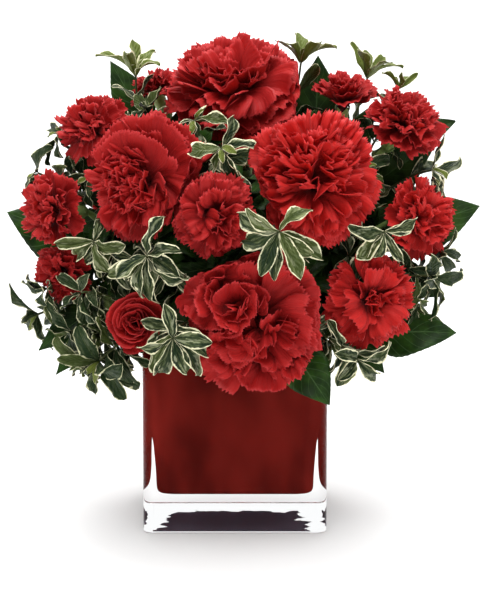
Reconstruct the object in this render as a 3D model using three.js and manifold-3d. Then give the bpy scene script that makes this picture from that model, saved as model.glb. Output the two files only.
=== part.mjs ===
// Red carnations with variegated pittosporum and salal leaves in a square glass vase.
// Millimetres, +Z up. The origin is the middle of the vase's underside, and the front is towards -Y.
import * as THREE from "three";
import { mergeVertices } from "three/addons/utils/BufferGeometryUtils.js";
import Module from "manifold-3d";

const wasm = await Module();
wasm.setup();

// Vase
const SIDE = 120; // outer width, depth and height
const CORNER = 7; // radius of the upright edges
const CORNER_STEPS = 2; // straight stretches round an upright edge
const BASE = 24; // thickness of the solid glass foot
const WALL_TOP = 4; // glass wall at the rim
const WALL_FOOT = 9; // glass wall just above the foot
const THINNED_AT = 0.8; // the wall is down to WALL_TOP at this share of the hollow's height
const FLOOR_INSET = 5; // the hollow's floor is narrower than its wall by this much on each side
const FLOOR_EDGE = 1.2; // what is left of that at the top of the floor's rounded edge
const FLOOR_RISE = 1.6; // height of that rounded edge
const MID_WALL = 50; // a height between floor and water at which the wall is measured
const LINING = 1.2; // the ruby layer inside the clear glass
const LINING_TOP = 1.5; // it ends this far below the rim
const WATER_TOP = 92;
const GAP = 0.3; // clearance between pieces that touch
const OVERSHOOT = 5; // a cut passes the surface by this much

// How far the outside is drawn in at each height, with its foot and rim rounded off.
const OUTSIDE = [
  { inset: 2, height: 0 },
  { inset: 0.5, height: 0.7 },
  { inset: 0, height: 2.5 },
  { inset: 0, height: SIDE - 1 },
  { inset: 0.8, height: SIDE },
];

// Stems
const STEM_FOOT = BASE + 4; // height of the cut ends
const STRAIGHT_TO = 102; // stems stand upright up to here, then fan out
const HANGING = 160; // a stem that ends below this height goes over the rim in an arch
const ARCH_RISE = 0.7; // height added to such an arch for each millimetre below HANGING
const RISE = 0.38; // a bend leaves its start straight for about this share of its span
const ARRIVE = 0.3; // and comes in straight over this share
const TAPER = 1.6; // the steps along a bend get shorter towards its tip by this power
const STEM_BENDS = 4; // straight stretches in the bend of a single stem
const FORK_BENDS = 3; // in those below and above a fork
const SALAL_BENDS = 5;
const FORK_SINK = 3; // a branch starts this far below the fork
const FORKED_STEM = 2; // radius of a stem below its fork
const TWIG = 1.3; // radius of a leafy stem
const STEM_SIDES = 4;
const TWIG_SIDES = 3;
const BIG_CALYX = { radius: 7.5, length: 25, stem: 2.4 };
const SMALL_CALYX = { radius: 4.6, length: 18, stem: 1.7 };
const CALYX_SIDES = 5;
const CALYX_WAIST = 0.8; // a calyx's radius below its belly, as a share of that at its mouth
const CALYX_BELLY = 0.7; // how far below the mouth that is, as a share of the length
const STEM_IN_CALYX = 3; // a stem runs this far up into its calyx

const RED = new THREE.MeshStandardMaterial({ color: 0xc01722, roughness: 0.8, metalness: 0 });
const DARK_RED = new THREE.MeshStandardMaterial({ color: 0x6e0d10, roughness: 0.1, metalness: 0 });
const CLEAR = new THREE.MeshStandardMaterial({ color: 0xeef2f4, roughness: 0.05, metalness: 0 });
const WATER = new THREE.MeshStandardMaterial({ color: 0xb8c6c8, roughness: 0.05, metalness: 0 });
const GREEN = new THREE.MeshStandardMaterial({ color: 0x6f8f45, roughness: 0.6, metalness: 0 });
const LEAF_GREEN = new THREE.MeshStandardMaterial({ color: 0x1f4a22, roughness: 0.45, metalness: 0 });
const CREAM_GREEN = new THREE.MeshStandardMaterial({ color: 0x64794a, roughness: 0.5, metalness: 0 });

// Each bloom: the middle of its calyx mouth, the way it faces, its radius, its form and its turn.
const BLOOMS = {
  carnation_top: {
    at: [1, 12, 273], face: [-0.05, -0.5, 0.86],
    radius: 47, form: "big", turn: 0.2,
  },
  carnation_left: {
    at: [-50, -60, 230], face: [-0.33, -0.85, 0.4],
    radius: 40, form: "big", turn: 1.0,
  },
  carnation_right: {
    at: [46, -60, 229], face: [0.3, -0.85, 0.42],
    radius: 42, form: "big", turn: 0.5,
  },
  carnation_front: {
    at: [10, -86, 152], face: [0.03, -0.99, -0.06],
    radius: 46, form: "big", turn: 0.9,
  },
  carnation_back: {
    at: [5, 74, 231], face: [0.02, 0.76, 0.64],
    radius: 42, form: "big", turn: 0.1,
  },
  small_upper_left: {
    at: [-88, -25, 258], face: [-0.5, -0.62, 0.55],
    radius: 25, form: "small", turn: 0.4,
  },
  small_left: {
    at: [-111, -37, 209], face: [-0.78, -0.6, 0.1],
    radius: 26, form: "small", turn: 0.0,
  },
  small_lower_left: {
    at: [-107, -34, 171], face: [-0.66, -0.66, -0.3],
    radius: 22, form: "small", turn: 0.7,
  },
  small_centre: {
    at: [-13, -86, 213], face: [0.02, -0.97, 0.2],
    radius: 27, form: "small", turn: 0.3,
  },
  small_upright: {
    at: [71, 10, 270], face: [0.06, -0.22, 0.97],
    radius: 22, form: "cup", turn: 0.8,
  },
  small_upper_right: {
    at: [107, -10, 258], face: [0.45, -0.52, 0.72],
    radius: 27, form: "small", turn: 1.2,
  },
  small_right: {
    at: [114, -30, 203], face: [0.66, -0.7, 0.2],
    radius: 27, form: "small", turn: 0.9,
  },
  small_lower_right: {
    at: [83, -68, 157], face: [0.33, -0.93, 0.02],
    radius: 30, form: "small", turn: 0.15,
  },
  small_bud: {
    at: [-60, -72, 143], face: [-0.15, -0.97, 0.12],
    radius: 21, form: "bud", turn: 0.5,
  },
  small_top_left: {
    at: [-52, 44, 276], face: [-0.35, -0.15, 0.92],
    radius: 19, form: "small", turn: 0.6,
  },
  small_back_left: {
    at: [-74, 58, 207], face: [-0.62, 0.74, 0.25],
    radius: 27, form: "small", turn: 1.1,
  },
  small_back_right: {
    at: [84, 58, 205], face: [0.66, 0.7, 0.28],
    radius: 28, form: "small", turn: 0.35,
  },
  small_back_low: {
    at: [6, 90, 163], face: [0.02, 0.99, 0.1],
    radius: 28, form: "small", turn: 0.75,
  },
};

// Whorls of petals, outermost first. open is the angle from the bloom's axis in degrees, length
// and half, a petal's half width, are shares of the radius, fold cups a petal along its middle,
// and steps are the straight stretches across it, from claw to margin.
const FORMS = {
  big: [
    { count: 5, open: 94, length: 1.04, half: 0.64, ruffle: 0.06, fold: 0.25, steps: [1, 2, 4] },
    { count: 4, open: 60, length: 0.96, half: 0.48, ruffle: 0.07, fold: 0.4, steps: [1, 2, 4] },
    { count: 3, open: 26, length: 0.9, half: 0.4, ruffle: 0.08, fold: 0.7, steps: [1, 4] },
  ],
  small: [
    { count: 5, open: 92, length: 1.04, half: 0.6, ruffle: 0.07, fold: 0.2, steps: [1, 2, 4] },
    { count: 3, open: 45, length: 0.95, half: 0.45, ruffle: 0.09, fold: 0.6, steps: [1, 4] },
  ],
  cup: [
    { count: 5, open: 62, length: 1.15, half: 0.58, ruffle: 0.07, fold: 0.5, steps: [1, 2, 4] },
    { count: 3, open: 25, length: 1.05, half: 0.44, ruffle: 0.09, fold: 0.7, steps: [1, 4] },
  ],
  bud: [
    { count: 4, open: 50, length: 1.2, half: 0.66, ruffle: 0.03, fold: 0.9, steps: [1, 2, 4] },
    { count: 3, open: 18, length: 1.0, half: 0.5, ruffle: 0.04, fold: 1.0, steps: [1, 4] },
  ],
};
const PETAL = 0.7; // thickness of a petal
const HUB = 0.1; // radius at which the claws start, as a share of the bloom's
const CLAW = 0.24; // a petal comes free of its neighbours at this share of its length
const CLAW_WIDTH = 0.06; // width of the claw, as a share of the petal's
const WIDENS = { from: 0.1, over: 0.8 }; // where along a petal it widens
const RUFFLED = { from: 0.25, over: 0.75 }; // where along a petal its ruffles grow
const ROUNDED = 0.12; // a petal's corners fall short of its middle by this share
const TOOTH = 0.07; // depth of the notches in a petal's margin, as a share of its length
const LAP = 0.2; // how far each petal leans so that one edge lies over its neighbour
const TIER = 0.08; // each whorl starts this share of the radius above the one outside it
const BEND_END = 0.32; // a petal has turned outwards by this share of its length
const BEND_STEPS = 24; // steps in which its turn is added up
const ROW_POWER = 0.8; // rows of points across a petal lie closer together near its margin
const HEART = 0.3; // the middle of a flower's bulk above its calyx, as a share of the radius
const REACHES = 12; // blooms further apart than their radii and this don't touch
const PRESS = 5; // petals of neighbouring blooms give way over this distance
const RECEPTACLE = { inset: 1.5, tip: 0.06, height: 0.4, sides: 3 };

// Leaves
const LEAF = 0.7; // thickness of a leaf
const LEAF_SHAPE = 0.26; // half a pittosporum leaf's width as a share of its length
const LEAF_OPEN = [54, 76]; // its angle from the twig, for every other leaf of a whorl
const LEAF_ARCH = 0.6; // how far it curves down over its length, in radians
const LEAF_SEAT = 1; // its base stands this far outside the twig
const SALAL_ARCH = 0.35;
const SALAL_FOLD = 0.14; // how far a salal leaf's halves fold up along the rib, in radians
const SALAL_ROWS = [0.2, 0.5, 0.8]; // where along a salal leaf its blade is measured
const STALK_OVERLAP = 1.5; // a stalk runs this far into its leaf
const BENT_BY = 0.4; // a leaf is bent clear of the blooms beyond this share of its length
const CALYX_ROOM = 2.5; // it keeps this far from a calyx
const BLOOM_ROOM = { up: 0.32, wide: 1.08, deep: 0.55 }; // and outside an egg round each bloom

// Where a twig's leaves stand, as shares of its bend: a whorl at the tip and two leaves below it.
// rows are the places along a leaf where its blade is measured.
const WHORLS = [
  { at: 1, size: 1, rows: [0, 0.42, 0.8] },
  { at: 0.75, size: 1.05, count: 2, rows: [0, 0.6] },
];
const LEAF_SEEDS = { first: 9000, spray: 300, whorl: 60 };
const CHANCES = 4; // numbers drawn for each petal or leaf

// Carnation stems: where each stands in the vase, its fork and the blooms that it carries.
const STEMS = {
  stem_top: { foot: [2, 6], blooms: ["carnation_top"] },
  stem_left: { foot: [-22, -22], blooms: ["carnation_left"] },
  stem_right: { foot: [20, -22], blooms: ["carnation_right"] },
  stem_front: { foot: [6, -42], blooms: ["carnation_front"] },
  stem_back: { foot: [3, 24], blooms: ["carnation_back"] },
  stem_upper_left: { foot: [-24, 0], blooms: ["small_upper_left", "small_top_left"], fork: [-52, 6, 214] },
  stem_side_left: { foot: [-40, -8], blooms: ["small_left", "small_lower_left"], fork: [-74, -16, 160] },
  stem_centre: { foot: [-6, -27], blooms: ["small_centre"] },
  stem_upper_right: { foot: [26, 2], blooms: ["small_upright", "small_upper_right"], fork: [62, 2, 208] },
  stem_side_right: { foot: [38, -8], blooms: ["small_right", "small_lower_right"], fork: [64, -26, 158] },
  stem_bud: { foot: [-28, -40], blooms: ["small_bud"] },
  stem_back_left: { foot: [-24, 26], blooms: ["small_back_left"] },
  stem_back_right: { foot: [26, 27], blooms: ["small_back_right", "small_back_low"], fork: [38, 50, 158] },
};

// Pittosporum sprays: the foot in the vase, the tip, the way it points, the length of its leaves,
// how many of them stand in the whorl at the tip, and the whorl's turn.
const PITTOSPORUM = {
  pitto_top_left: {
    foot: [-31, 16], tip: [-66, 18, 292], way: [0.0, -0.15, 0.99], leaf: 27, count: 5, roll: 0.3,
  },
  pitto_left_high: {
    foot: [-38, 8], tip: [-129, -15, 231], way: [-0.9, -0.3, 0.35], leaf: 25, count: 5, roll: 1.2,
  },
  pitto_mid_high: {
    foot: [-12, -12], tip: [-26, -40, 268], way: [-0.1, -0.75, 0.65], leaf: 22, count: 5, roll: 0.2,
  },
  pitto_centre: {
    foot: [8, -14], tip: [-8, -79, 254], way: [0.05, -0.9, 0.4], leaf: 24, count: 6, roll: 0.3,
  },
  pitto_rosette: {
    foot: [20, -36], tip: [27, -124, 208], way: [0.05, -0.97, 0.1], leaf: 29, count: 7, roll: 0.1,
  },
  pitto_front_left: {
    foot: [-16, -32], tip: [-54, -108, 190], way: [-0.15, -0.95, 0.1], leaf: 28, count: 7, roll: 0.6,
  },
  pitto_left_mid: {
    foot: [-44, -24], tip: [-89, -72, 194], way: [-0.5, -0.8, 0.2], leaf: 24, count: 5, roll: 0,
  },
  pitto_low_front: {
    foot: [-14, -42], tip: [-38, -125, 142], way: [0.0, -0.96, -0.2], leaf: 27, count: 6, roll: 0.8,
  },
  pitto_left_low: {
    foot: [-45, -33], tip: [-97, -74, 162], way: [-0.6, -0.8, 0.05], leaf: 21, count: 5, roll: 0.9,
  },
  pitto_far_left: {
    foot: [-43, -1], tip: [-130, -20, 138], way: [-0.85, -0.35, -0.3], leaf: 25, count: 5, roll: 0.6,
  },
  pitto_hanging: {
    foot: [-43, -43], tip: [-86, -78, 118], way: [-0.6, -0.5, -0.6], leaf: 30, count: 6, roll: 0.2,
  },
  pitto_top_right: {
    foot: [12, 12], tip: [44, 28, 300], way: [0.1, -0.1, 0.98], leaf: 26, count: 5, roll: 0.5,
  },
  pitto_right_high: {
    foot: [36, 12], tip: [89, 38, 289], way: [0.25, 0.05, 0.96], leaf: 25, count: 6, roll: 0.1,
  },
  pitto_right: {
    foot: [45, 4], tip: [129, -15, 233], way: [0.8, -0.45, 0.2], leaf: 26, count: 6, roll: 0.7,
  },
  pitto_right_mid: {
    foot: [42, -26], tip: [94, -82, 202], way: [0.35, -0.9, 0.2], leaf: 26, count: 6, roll: 0.3,
  },
  pitto_right_low: {
    foot: [44, -42], tip: [127, -50, 168], way: [0.8, -0.5, -0.1], leaf: 25, count: 6, roll: 0.6,
  },
  pitto_low_right: {
    foot: [30, -46], tip: [77, -92, 122], way: [0.5, -0.75, -0.4], leaf: 22, count: 5, roll: 0.9,
  },
  pitto_back_left: {
    foot: [-42, 44], tip: [-62, 86, 156], way: [-0.5, 0.85, -0.05], leaf: 30, count: 5, roll: 0.4,
  },
  pitto_back_right: {
    foot: [44, 44], tip: [62, 90, 158], way: [0.5, 0.85, 0.0], leaf: 30, count: 5, roll: 0.8,
  },
  pitto_back_high: {
    foot: [-8, 34], tip: [-48, 94, 224], way: [-0.45, 0.85, 0.25], leaf: 24, count: 5, roll: 0.2,
  },
};

// Salal stems: the foot in the vase, then each leaf from its base to its tip, the way its face looks
// and half its width.
const SALAL = {
  salal_left: {
    foot: [-40, 21],
    leaves: [
      { from: [-96, 16, 178], to: [-152, 8, 202], up: [-0.3, -0.9, 0.3], half: 25 },
      { from: [-60, 72, 254], to: [-86, 74, 298], up: [-0.2, -0.95, 0.2], half: 15 },
    ],
  },
  salal_top: {
    foot: [22, 14],
    leaves: [
      { from: [54, 34, 250], to: [56, 40, 304], up: [0.05, -0.98, 0.1], half: 17 },
      { from: [40, 0, 236], to: [52, -14, 272], up: [0.2, -0.9, 0.3], half: 14 },
    ],
  },
  salal_upper_right: {
    foot: [45, 18],
    leaves: [
      { from: [100, 26, 240], to: [147, 18, 262], up: [0.2, -0.8, 0.5], half: 17 },
      { from: [92, 14, 212], to: [124, 8, 230], up: [0.2, -0.9, 0.3], half: 15 },
    ],
  },
  salal_right: {
    foot: [46, -14],
    leaves: [
      { from: [110, -4, 190], to: [161, -12, 209], up: [0.2, -0.9, 0.3], half: 20 },
    ],
  },
  salal_low_right: {
    foot: [46, -30],
    leaves: [
      { from: [90, -38, 129], to: [143, -54, 132], up: [0.1, -0.9, 0.4], half: 19 },
    ],
  },
  salal_hanging: {
    foot: [17, -46],
    leaves: [
      { from: [37, -74, 124], to: [60, -88, 92], up: [0.1, -0.95, 0.1], half: 17 },
    ],
  },
};

// Numbers and directions

const vec = (a) => new THREE.Vector3(...a);
const unit = (a) => vec(a).normalize();
const blend = (a, x, b, y) => a.clone().multiplyScalar(x).addScaledVector(b, y);
const moved = (point, way, by) => point.clone().addScaledVector(way, by);
const nearTip = (t) => 1 - (1 - t) ** TAPER;

function smooth(x) {
  const c = Math.min(1, Math.max(0, x));
  return c * c * (3 - 2 * c);
}

// A repeatable number from 0 to 1 for each whole number.
function chance(n) {
  const x = Math.sin(n * 12.9898 + 4.1414) * 43758.5453;
  return x - Math.floor(x);
}

const jitter = (n, spread) => spread * (chance(n) - 0.5);

// The three axes of a thing that points along way: way itself is the third.
function axesAlong(way) {
  const third = way.clone().normalize();
  const first = vec([0, 0, 1]).cross(third);
  if (first.length() < 0.1) first.set(1, 0, 0).cross(third);
  first.normalize();
  return { first, second: third.clone().cross(first), third };
}

const outwardsAt = ({ first, second }, turn) => blend(first, Math.cos(turn), second, Math.sin(turn));

const blooms = Object.entries(BLOOMS).map(([name, bloom], index) => ({
  ...bloom,
  name,
  index,
  origin: vec(bloom.at),
  axes: axesAlong(vec(bloom.face)),
  calyx: bloom.form === "big" ? BIG_CALYX : SMALL_CALYX,
  heart: moved(vec(bloom.at), unit(bloom.face), HEART * bloom.radius),
}));

const bloomNamed = (name) => blooms.find((bloom) => bloom.name === name);

// Solids

function solidOf(geometry) {
  const bare = geometry.clone();
  bare.deleteAttribute("normal");
  bare.deleteAttribute("uv");
  const merged = mergeVertices(bare, 1e-4);
  return new wasm.Manifold(
    new wasm.Mesh({
      numProp: 3,
      vertProperties: new Float32Array(merged.attributes.position.array),
      triVerts: new Uint32Array(merged.index.array),
    }),
  );
}

function geometryOf(solid) {
  const mesh = solid.getMesh();
  return new THREE.BufferGeometry()
    .setAttribute("position", new THREE.BufferAttribute(mesh.vertProperties, 3))
    .setIndex(new THREE.BufferAttribute(mesh.triVerts, 1));
}

const fuse = (geometries) => geometries.map(solidOf).reduce((whole, piece) => whole.add(piece));

function geometryFrom(points, faces) {
  return new THREE.BufferGeometry()
    .setAttribute("position", new THREE.Float32BufferAttribute(points.flatMap((p) => [p.x, p.y, p.z]), 3))
    .setIndex(faces.flat());
}

// A closed skin over rings of points that turn anticlockwise seen from the last ring's side.
function loft(rings) {
  const around = rings[0].length;
  const points = rings.flat();
  const middle = (ring) => ring.reduce((sum, p) => sum.add(p), vec([0, 0, 0])).divideScalar(around);
  const faces = [];
  rings.slice(1).forEach((_, r) => {
    for (let i = 0; i < around; i++) {
      const a = r * around + i;
      const b = r * around + ((i + 1) % around);
      faces.push([a, b, b + around], [a, b + around, a + around]);
    }
  });
  const low = points.push(middle(rings[0])) - 1;
  const high = points.push(middle(rings.at(-1))) - 1;
  const last = (rings.length - 1) * around;
  for (let i = 0; i < around; i++) {
    const next = (i + 1) % around;
    faces.push([low, next, i], [high, last + i, last + next]);
  }
  return geometryFrom(points, faces);
}

// A closed rod of a few sides along a path.
function rod(path, radius, sides) {
  const section = Array.from({ length: sides }, (_, k) => {
    const angle = (2 * Math.PI * k) / sides;
    return new THREE.Vector2(radius * Math.cos(angle), radius * Math.sin(angle));
  });
  return new THREE.ExtrudeGeometry(new THREE.Shape(section), { steps: path.steps, extrudePath: path });
}

// A piece turned around a bloom's axis. Its profile's height is measured from the calyx mouth.
function turnedAlong(bloom, profile, sides) {
  const { first, second, third } = bloom.axes;
  const place = new THREE.Matrix4().makeBasis(first, third, second.clone().negate());
  place.setPosition(bloom.origin);
  const outline = profile.map(([radius, height]) => new THREE.Vector2(radius, height));
  return new THREE.LatheGeometry(outline, sides).applyMatrix4(place);
}

// Triangles between two rows of points, each given as the numbers of its points.
function strip(low, high) {
  const faces = [];
  const lowEnd = low.length - 1;
  const highEnd = high.length - 1;
  let i = 0;
  let j = 0;
  while (i < lowEnd || j < highEnd) {
    const highIsBehind = (j + 0.5) / highEnd < (i + 0.5) / lowEnd;
    if (i === lowEnd || (j < highEnd && highIsBehind)) {
      faces.push([low[i], high[j + 1], high[j]]);
      j += 1;
    } else {
      faces.push([low[i], low[i + 1], high[j]]);
      i += 1;
    }
  }
  return faces;
}

// A sheet of lobes that spread from a hub, given in turn around it. Each lobe's first row is on the hub.
function star(lobes) {
  const sheet = lobes.flat(2);
  let count = 0;
  const numbered = lobes.map((rows) => rows.map((row) => row.map(() => count++)));
  const faces = numbered.flatMap((rows) => rows.slice(1).flatMap((row, r) => strip(rows[r], row)));
  const hub = numbered.flatMap((rows) => rows[0]);
  for (let i = 2; i < hub.length; i++) faces.push([hub[0], hub[i], hub[i - 1]]);
  const rim = [...numbered].reverse().flatMap((rows) => {
    const right = rows.slice(0, -1).map((row) => row.at(-1));
    const left = rows.slice(0, -1).map((row) => row[0]);
    return [...right, ...[...rows.at(-1)].reverse(), ...left.reverse()];
  });
  return { sheet, faces, rim };
}

// A blade of even thickness over a sheet of triangles, split alike on both faces.
function blade({ sheet, faces, rim }, thickness) {
  const normals = sheet.map(() => vec([0, 0, 0]));
  for (const [a, b, c] of faces) {
    const ab = sheet[b].clone().sub(sheet[a]);
    const normal = ab.cross(sheet[c].clone().sub(sheet[a])).normalize();
    [a, b, c].forEach((i) => normals[i].add(normal));
  }
  normals.forEach((normal) => normal.normalize());
  const total = sheet.length;
  const over = sheet.map((p, i) => moved(p, normals[i], thickness / 2));
  const under = sheet.map((p, i) => moved(p, normals[i], -thickness / 2));
  const underFaces = faces.map(([a, b, c]) => [a + total, c + total, b + total]);
  const edge = rim.flatMap((a, i) => {
    const b = rim[(i + 1) % rim.length];
    return [[a, a + total, b + total], [a, b + total, b]];
  });
  return geometryFrom([...over, ...under], [...faces, ...underFaces, ...edge]);
}

// Vase, ruby lining and water

// A square with rounded corners at one height, anticlockwise from above.
function roundedSquare(half, radius, height) {
  const points = [];
  for (let corner = 0; corner < 4; corner++)
    for (let i = 0; i <= CORNER_STEPS; i++) {
      const angle = (Math.PI / 2) * (corner + i / CORNER_STEPS);
      const middle = (Math.PI / 2) * (corner + 0.5);
      const x = (half - radius) * Math.sign(Math.cos(middle)) + radius * Math.cos(angle);
      const y = (half - radius) * Math.sign(Math.sin(middle)) + radius * Math.sin(angle);
      points.push(vec([x, y, height]));
    }
  return points;
}

// The hollow of the vase, drawn in by an inset on every side, from floor to top.
function hollow(inset, floor, top) {
  const widest = SIDE / 2 - WALL_TOP - inset;
  const narrowest = SIDE / 2 - WALL_FOOT - inset;
  const radius = CORNER - 1 - inset;
  const ringAt = (z) => {
    const thinned = smooth((z - BASE) / (THINNED_AT * (SIDE - BASE)));
    return roundedSquare(narrowest + (widest - narrowest) * thinned, radius, z);
  };
  const rings = [
    roundedSquare(narrowest - FLOOR_INSET, radius, floor),
    roundedSquare(narrowest - FLOOR_EDGE, radius, floor + FLOOR_RISE),
    ringAt(MID_WALL),
    ringAt(WATER_TOP),
  ];
  if (top > WATER_TOP) rings.push(ringAt(top));
  return solidOf(loft(rings));
}

function vaseGlass() {
  const rings = OUTSIDE.map(({ inset, height }) => roundedSquare(SIDE / 2 - inset, CORNER - inset, height));
  return solidOf(loft(rings)).subtract(hollow(0, BASE, SIDE + OVERSHOOT));
}

function rubyLining() {
  const inside = GAP + LINING;
  return hollow(GAP, BASE + GAP, SIDE - LINING_TOP).subtract(hollow(inside, BASE + inside, SIDE + OVERSHOOT));
}

// The water, with a hole for every stem.
function water() {
  const inset = GAP + LINING + GAP;
  const holes = [
    ...Object.values(STEMS).map((s) => ({ foot: s.foot, radius: lowerRadius(s), sides: STEM_SIDES })),
    ...Object.values(PITTOSPORUM).map(({ foot }) => ({ foot, radius: TWIG, sides: TWIG_SIDES })),
    ...Object.values(SALAL).map(({ foot }) => ({ foot, radius: TWIG, sides: TWIG_SIDES })),
  ];
  return holes.reduce((body, { foot, radius, sides }) => {
    const bottom = vec([...foot, BASE - OVERSHOOT]);
    const path = new THREE.LineCurve3(bottom, vec([...foot, WATER_TOP + OVERSHOOT]));
    path.steps = 1;
    return body.subtract(solidOf(rod(path, radius + GAP / Math.cos(Math.PI / sides), sides)));
  }, hollow(inset, BASE + inset, WATER_TOP));
}

// Blooms

// Presses a point of one bloom back to its own side of each plane that parts it from a neighbour.
function pressedClear(bloom, point) {
  const p = point.clone();
  for (const other of blooms) {
    if (other === bloom) continue;
    const away = other.heart.clone().sub(bloom.heart);
    const apart = away.length();
    if (apart > bloom.radius + other.radius + REACHES) continue;
    away.divideScalar(apart);
    const share = apart / 2 + (bloom.radius ** 2 - other.radius ** 2) / (4 * apart);
    const beyond = p.clone().sub(bloom.heart).dot(away) - share + GAP;
    if (beyond > -PRESS) p.addScaledVector(away, -PRESS * Math.exp(-(beyond + PRESS) / PRESS) - beyond);
  }
  return p;
}

// The petals of one whorl, each with its own small differences.
function petalsOf(bloom, whorl, level) {
  return Array.from({ length: whorl.count }, (_, i) => {
    const seed = CHANCES * (i + 10 * (level + 10 * bloom.index));
    const turn = (2 * Math.PI * (i + 0.5 * level)) / whorl.count;
    return {
      ...whorl,
      level,
      turn: turn + bloom.turn + jitter(seed, 0.25),
      angle: THREE.MathUtils.degToRad(whorl.open + jitter(seed + 1, 12)),
      reach: bloom.radius * whorl.length * (1 + jitter(seed + 2, 0.1)),
      phase: 2 * Math.PI * chance(seed + 3),
    };
  });
}

// A point of a petal: along runs from the claw, 0, to the margin, 1, and across from -1 to 1.
function petalPoint(bloom, petal, across, along) {
  const { radius, axes } = bloom;
  const out = outwardsAt(axes, petal.turn);
  const reached = along * (1 - ROUNDED * across * across);
  let outwards = HUB * radius;
  let upwards = TIER * petal.level * radius;
  for (let i = 0; i < BEND_STEPS; i++) {
    const angle = petal.angle * smooth((reached * (i + 0.5)) / BEND_STEPS / BEND_END);
    outwards += (petal.reach * reached * Math.sin(angle)) / BEND_STEPS;
    upwards += (petal.reach * reached * Math.cos(angle)) / BEND_STEPS;
  }
  const lean = petal.angle * smooth(reached / BEND_END);
  const widened = smooth((along - WIDENS.from) / WIDENS.over);
  const half = petal.half * radius * (CLAW_WIDTH + (1 - CLAW_WIDTH) * widened);
  const ruffle = petal.ruffle * radius * smooth((along - RUFFLED.from) / RUFFLED.over);
  const wave = Math.sin(2 * Math.PI * across + petal.phase);
  const smallWave = 0.5 * Math.sin(4.6 * Math.PI * across + 2 * petal.phase);
  const cup = petal.fold * across;
  const lift = (half * (1 - Math.cos(cup))) / petal.fold + LAP * half * across + ruffle * (wave + smallWave);
  const point = moved(bloom.origin, out, outwards - lift * Math.cos(lean));
  point.addScaledVector(axes.third, upwards + lift * Math.sin(lean));
  point.addScaledVector(axes.third.clone().cross(out), (half * Math.sin(cup)) / petal.fold);
  return pressedClear(bloom, point);
}

// Rows of points from the claw to the toothed margin of a petal.
function petalRows(bloom, petal) {
  return petal.steps.map((steps, r) => {
    const along = CLAW + (1 - CLAW) * (r / (petal.steps.length - 1)) ** ROW_POWER;
    return Array.from({ length: steps + 1 }, (_, c) => {
      const notch = along === 1 && c % 2 ? TOOTH : 0;
      return petalPoint(bloom, petal, (2 * c) / steps - 1, along - notch);
    });
  });
}

// The receptacle at the heart of a bloom, which joins its whorls and stands on the calyx.
function receptacle(bloom) {
  const height = RECEPTACLE.height * bloom.radius;
  const profile = [
    [0, 0],
    [bloom.calyx.radius - RECEPTACLE.inset, 0],
    [RECEPTACLE.tip * bloom.radius, height],
    [0, height],
  ];
  return turnedAlong(bloom, profile, RECEPTACLE.sides);
}

function bloomSolid(bloom) {
  const whorls = FORMS[bloom.form].map((whorl, level) => {
    const petals = petalsOf(bloom, whorl, level);
    return blade(star(petals.map((petal) => petalRows(bloom, petal))), PETAL);
  });
  return fuse([receptacle(bloom), ...whorls]);
}

// Stems and calyxes

// A stem's path: a straight step from its foot, if it has one, then bends that end along way.
class StemPath extends THREE.Curve {
  constructor({ foot, start, end, rise, way, bends }) {
    super();
    const span = start.distanceTo(end);
    const overRim = foot ? ARCH_RISE * Math.max(0, HANGING - end.z) : 0;
    const leaving = moved(start, rise, RISE * span + overRim);
    this.foot = foot;
    this.start = start;
    this.steps = foot ? bends + 1 : bends;
    this.bend = new THREE.CubicBezierCurve3(start, leaving, moved(end, way, -ARRIVE * span), end);
  }
  getPoint(t) {
    if (!this.foot) return this.bend.getPoint(t);
    const step = t * this.steps;
    if (step < 1) return this.foot.clone().lerp(this.start, step);
    return this.bend.getPoint(nearTip((step - 1) / (this.steps - 1)));
  }
  // The steps follow t, so that the long straight stretch is a single step
  getUtoTmapping(u) {
    return u;
  }
}

// The path of a stem that stands at foot in the vase and ends at a point above it.
function fromVase(foot, end, way, bends) {
  const start = vec([...foot, STRAIGHT_TO]);
  return new StemPath({ foot: vec([...foot, STEM_FOOT]), start, end, rise: vec([0, 0, 1]), way, bends });
}

const lowerRadius = ({ fork, blooms: [name] }) => (fork ? FORKED_STEM : bloomNamed(name).calyx.stem);

function calyxSolid(bloom) {
  const { radius, length } = bloom.calyx;
  const profile = [
    [0, -length],
    [CALYX_WAIST * radius, -CALYX_BELLY * length],
    [radius, -GAP],
    [0, -GAP],
  ];
  return turnedAlong(bloom, profile, CALYX_SIDES);
}

function stemSolid(stem) {
  const heads = stem.blooms.map(bloomNamed);
  const inCalyx = (bloom) => moved(bloom.origin, bloom.axes.third, STEM_IN_CALYX - bloom.calyx.length);
  const calyxes = heads.map(calyxSolid);
  if (!stem.fork) {
    const [head] = heads;
    const path = fromVase(stem.foot, inCalyx(head), head.axes.third, STEM_BENDS);
    return fuse([...calyxes, rod(path, head.calyx.stem, STEM_SIDES)]);
  }
  const knot = vec(stem.fork);
  const rise = knot.clone().sub(vec([...stem.foot, STRAIGHT_TO])).normalize();
  const start = moved(knot, rise, -FORK_SINK);
  const branches = heads.map((head) => {
    const path = new StemPath({ start, end: inCalyx(head), rise, way: head.axes.third, bends: FORK_BENDS });
    return rod(path, head.calyx.stem, STEM_SIDES);
  });
  const lower = rod(fromVase(stem.foot, knot, rise, FORK_BENDS), FORKED_STEM, STEM_SIDES);
  return fuse([...calyxes, lower, ...branches]);
}

// Leaves

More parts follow.
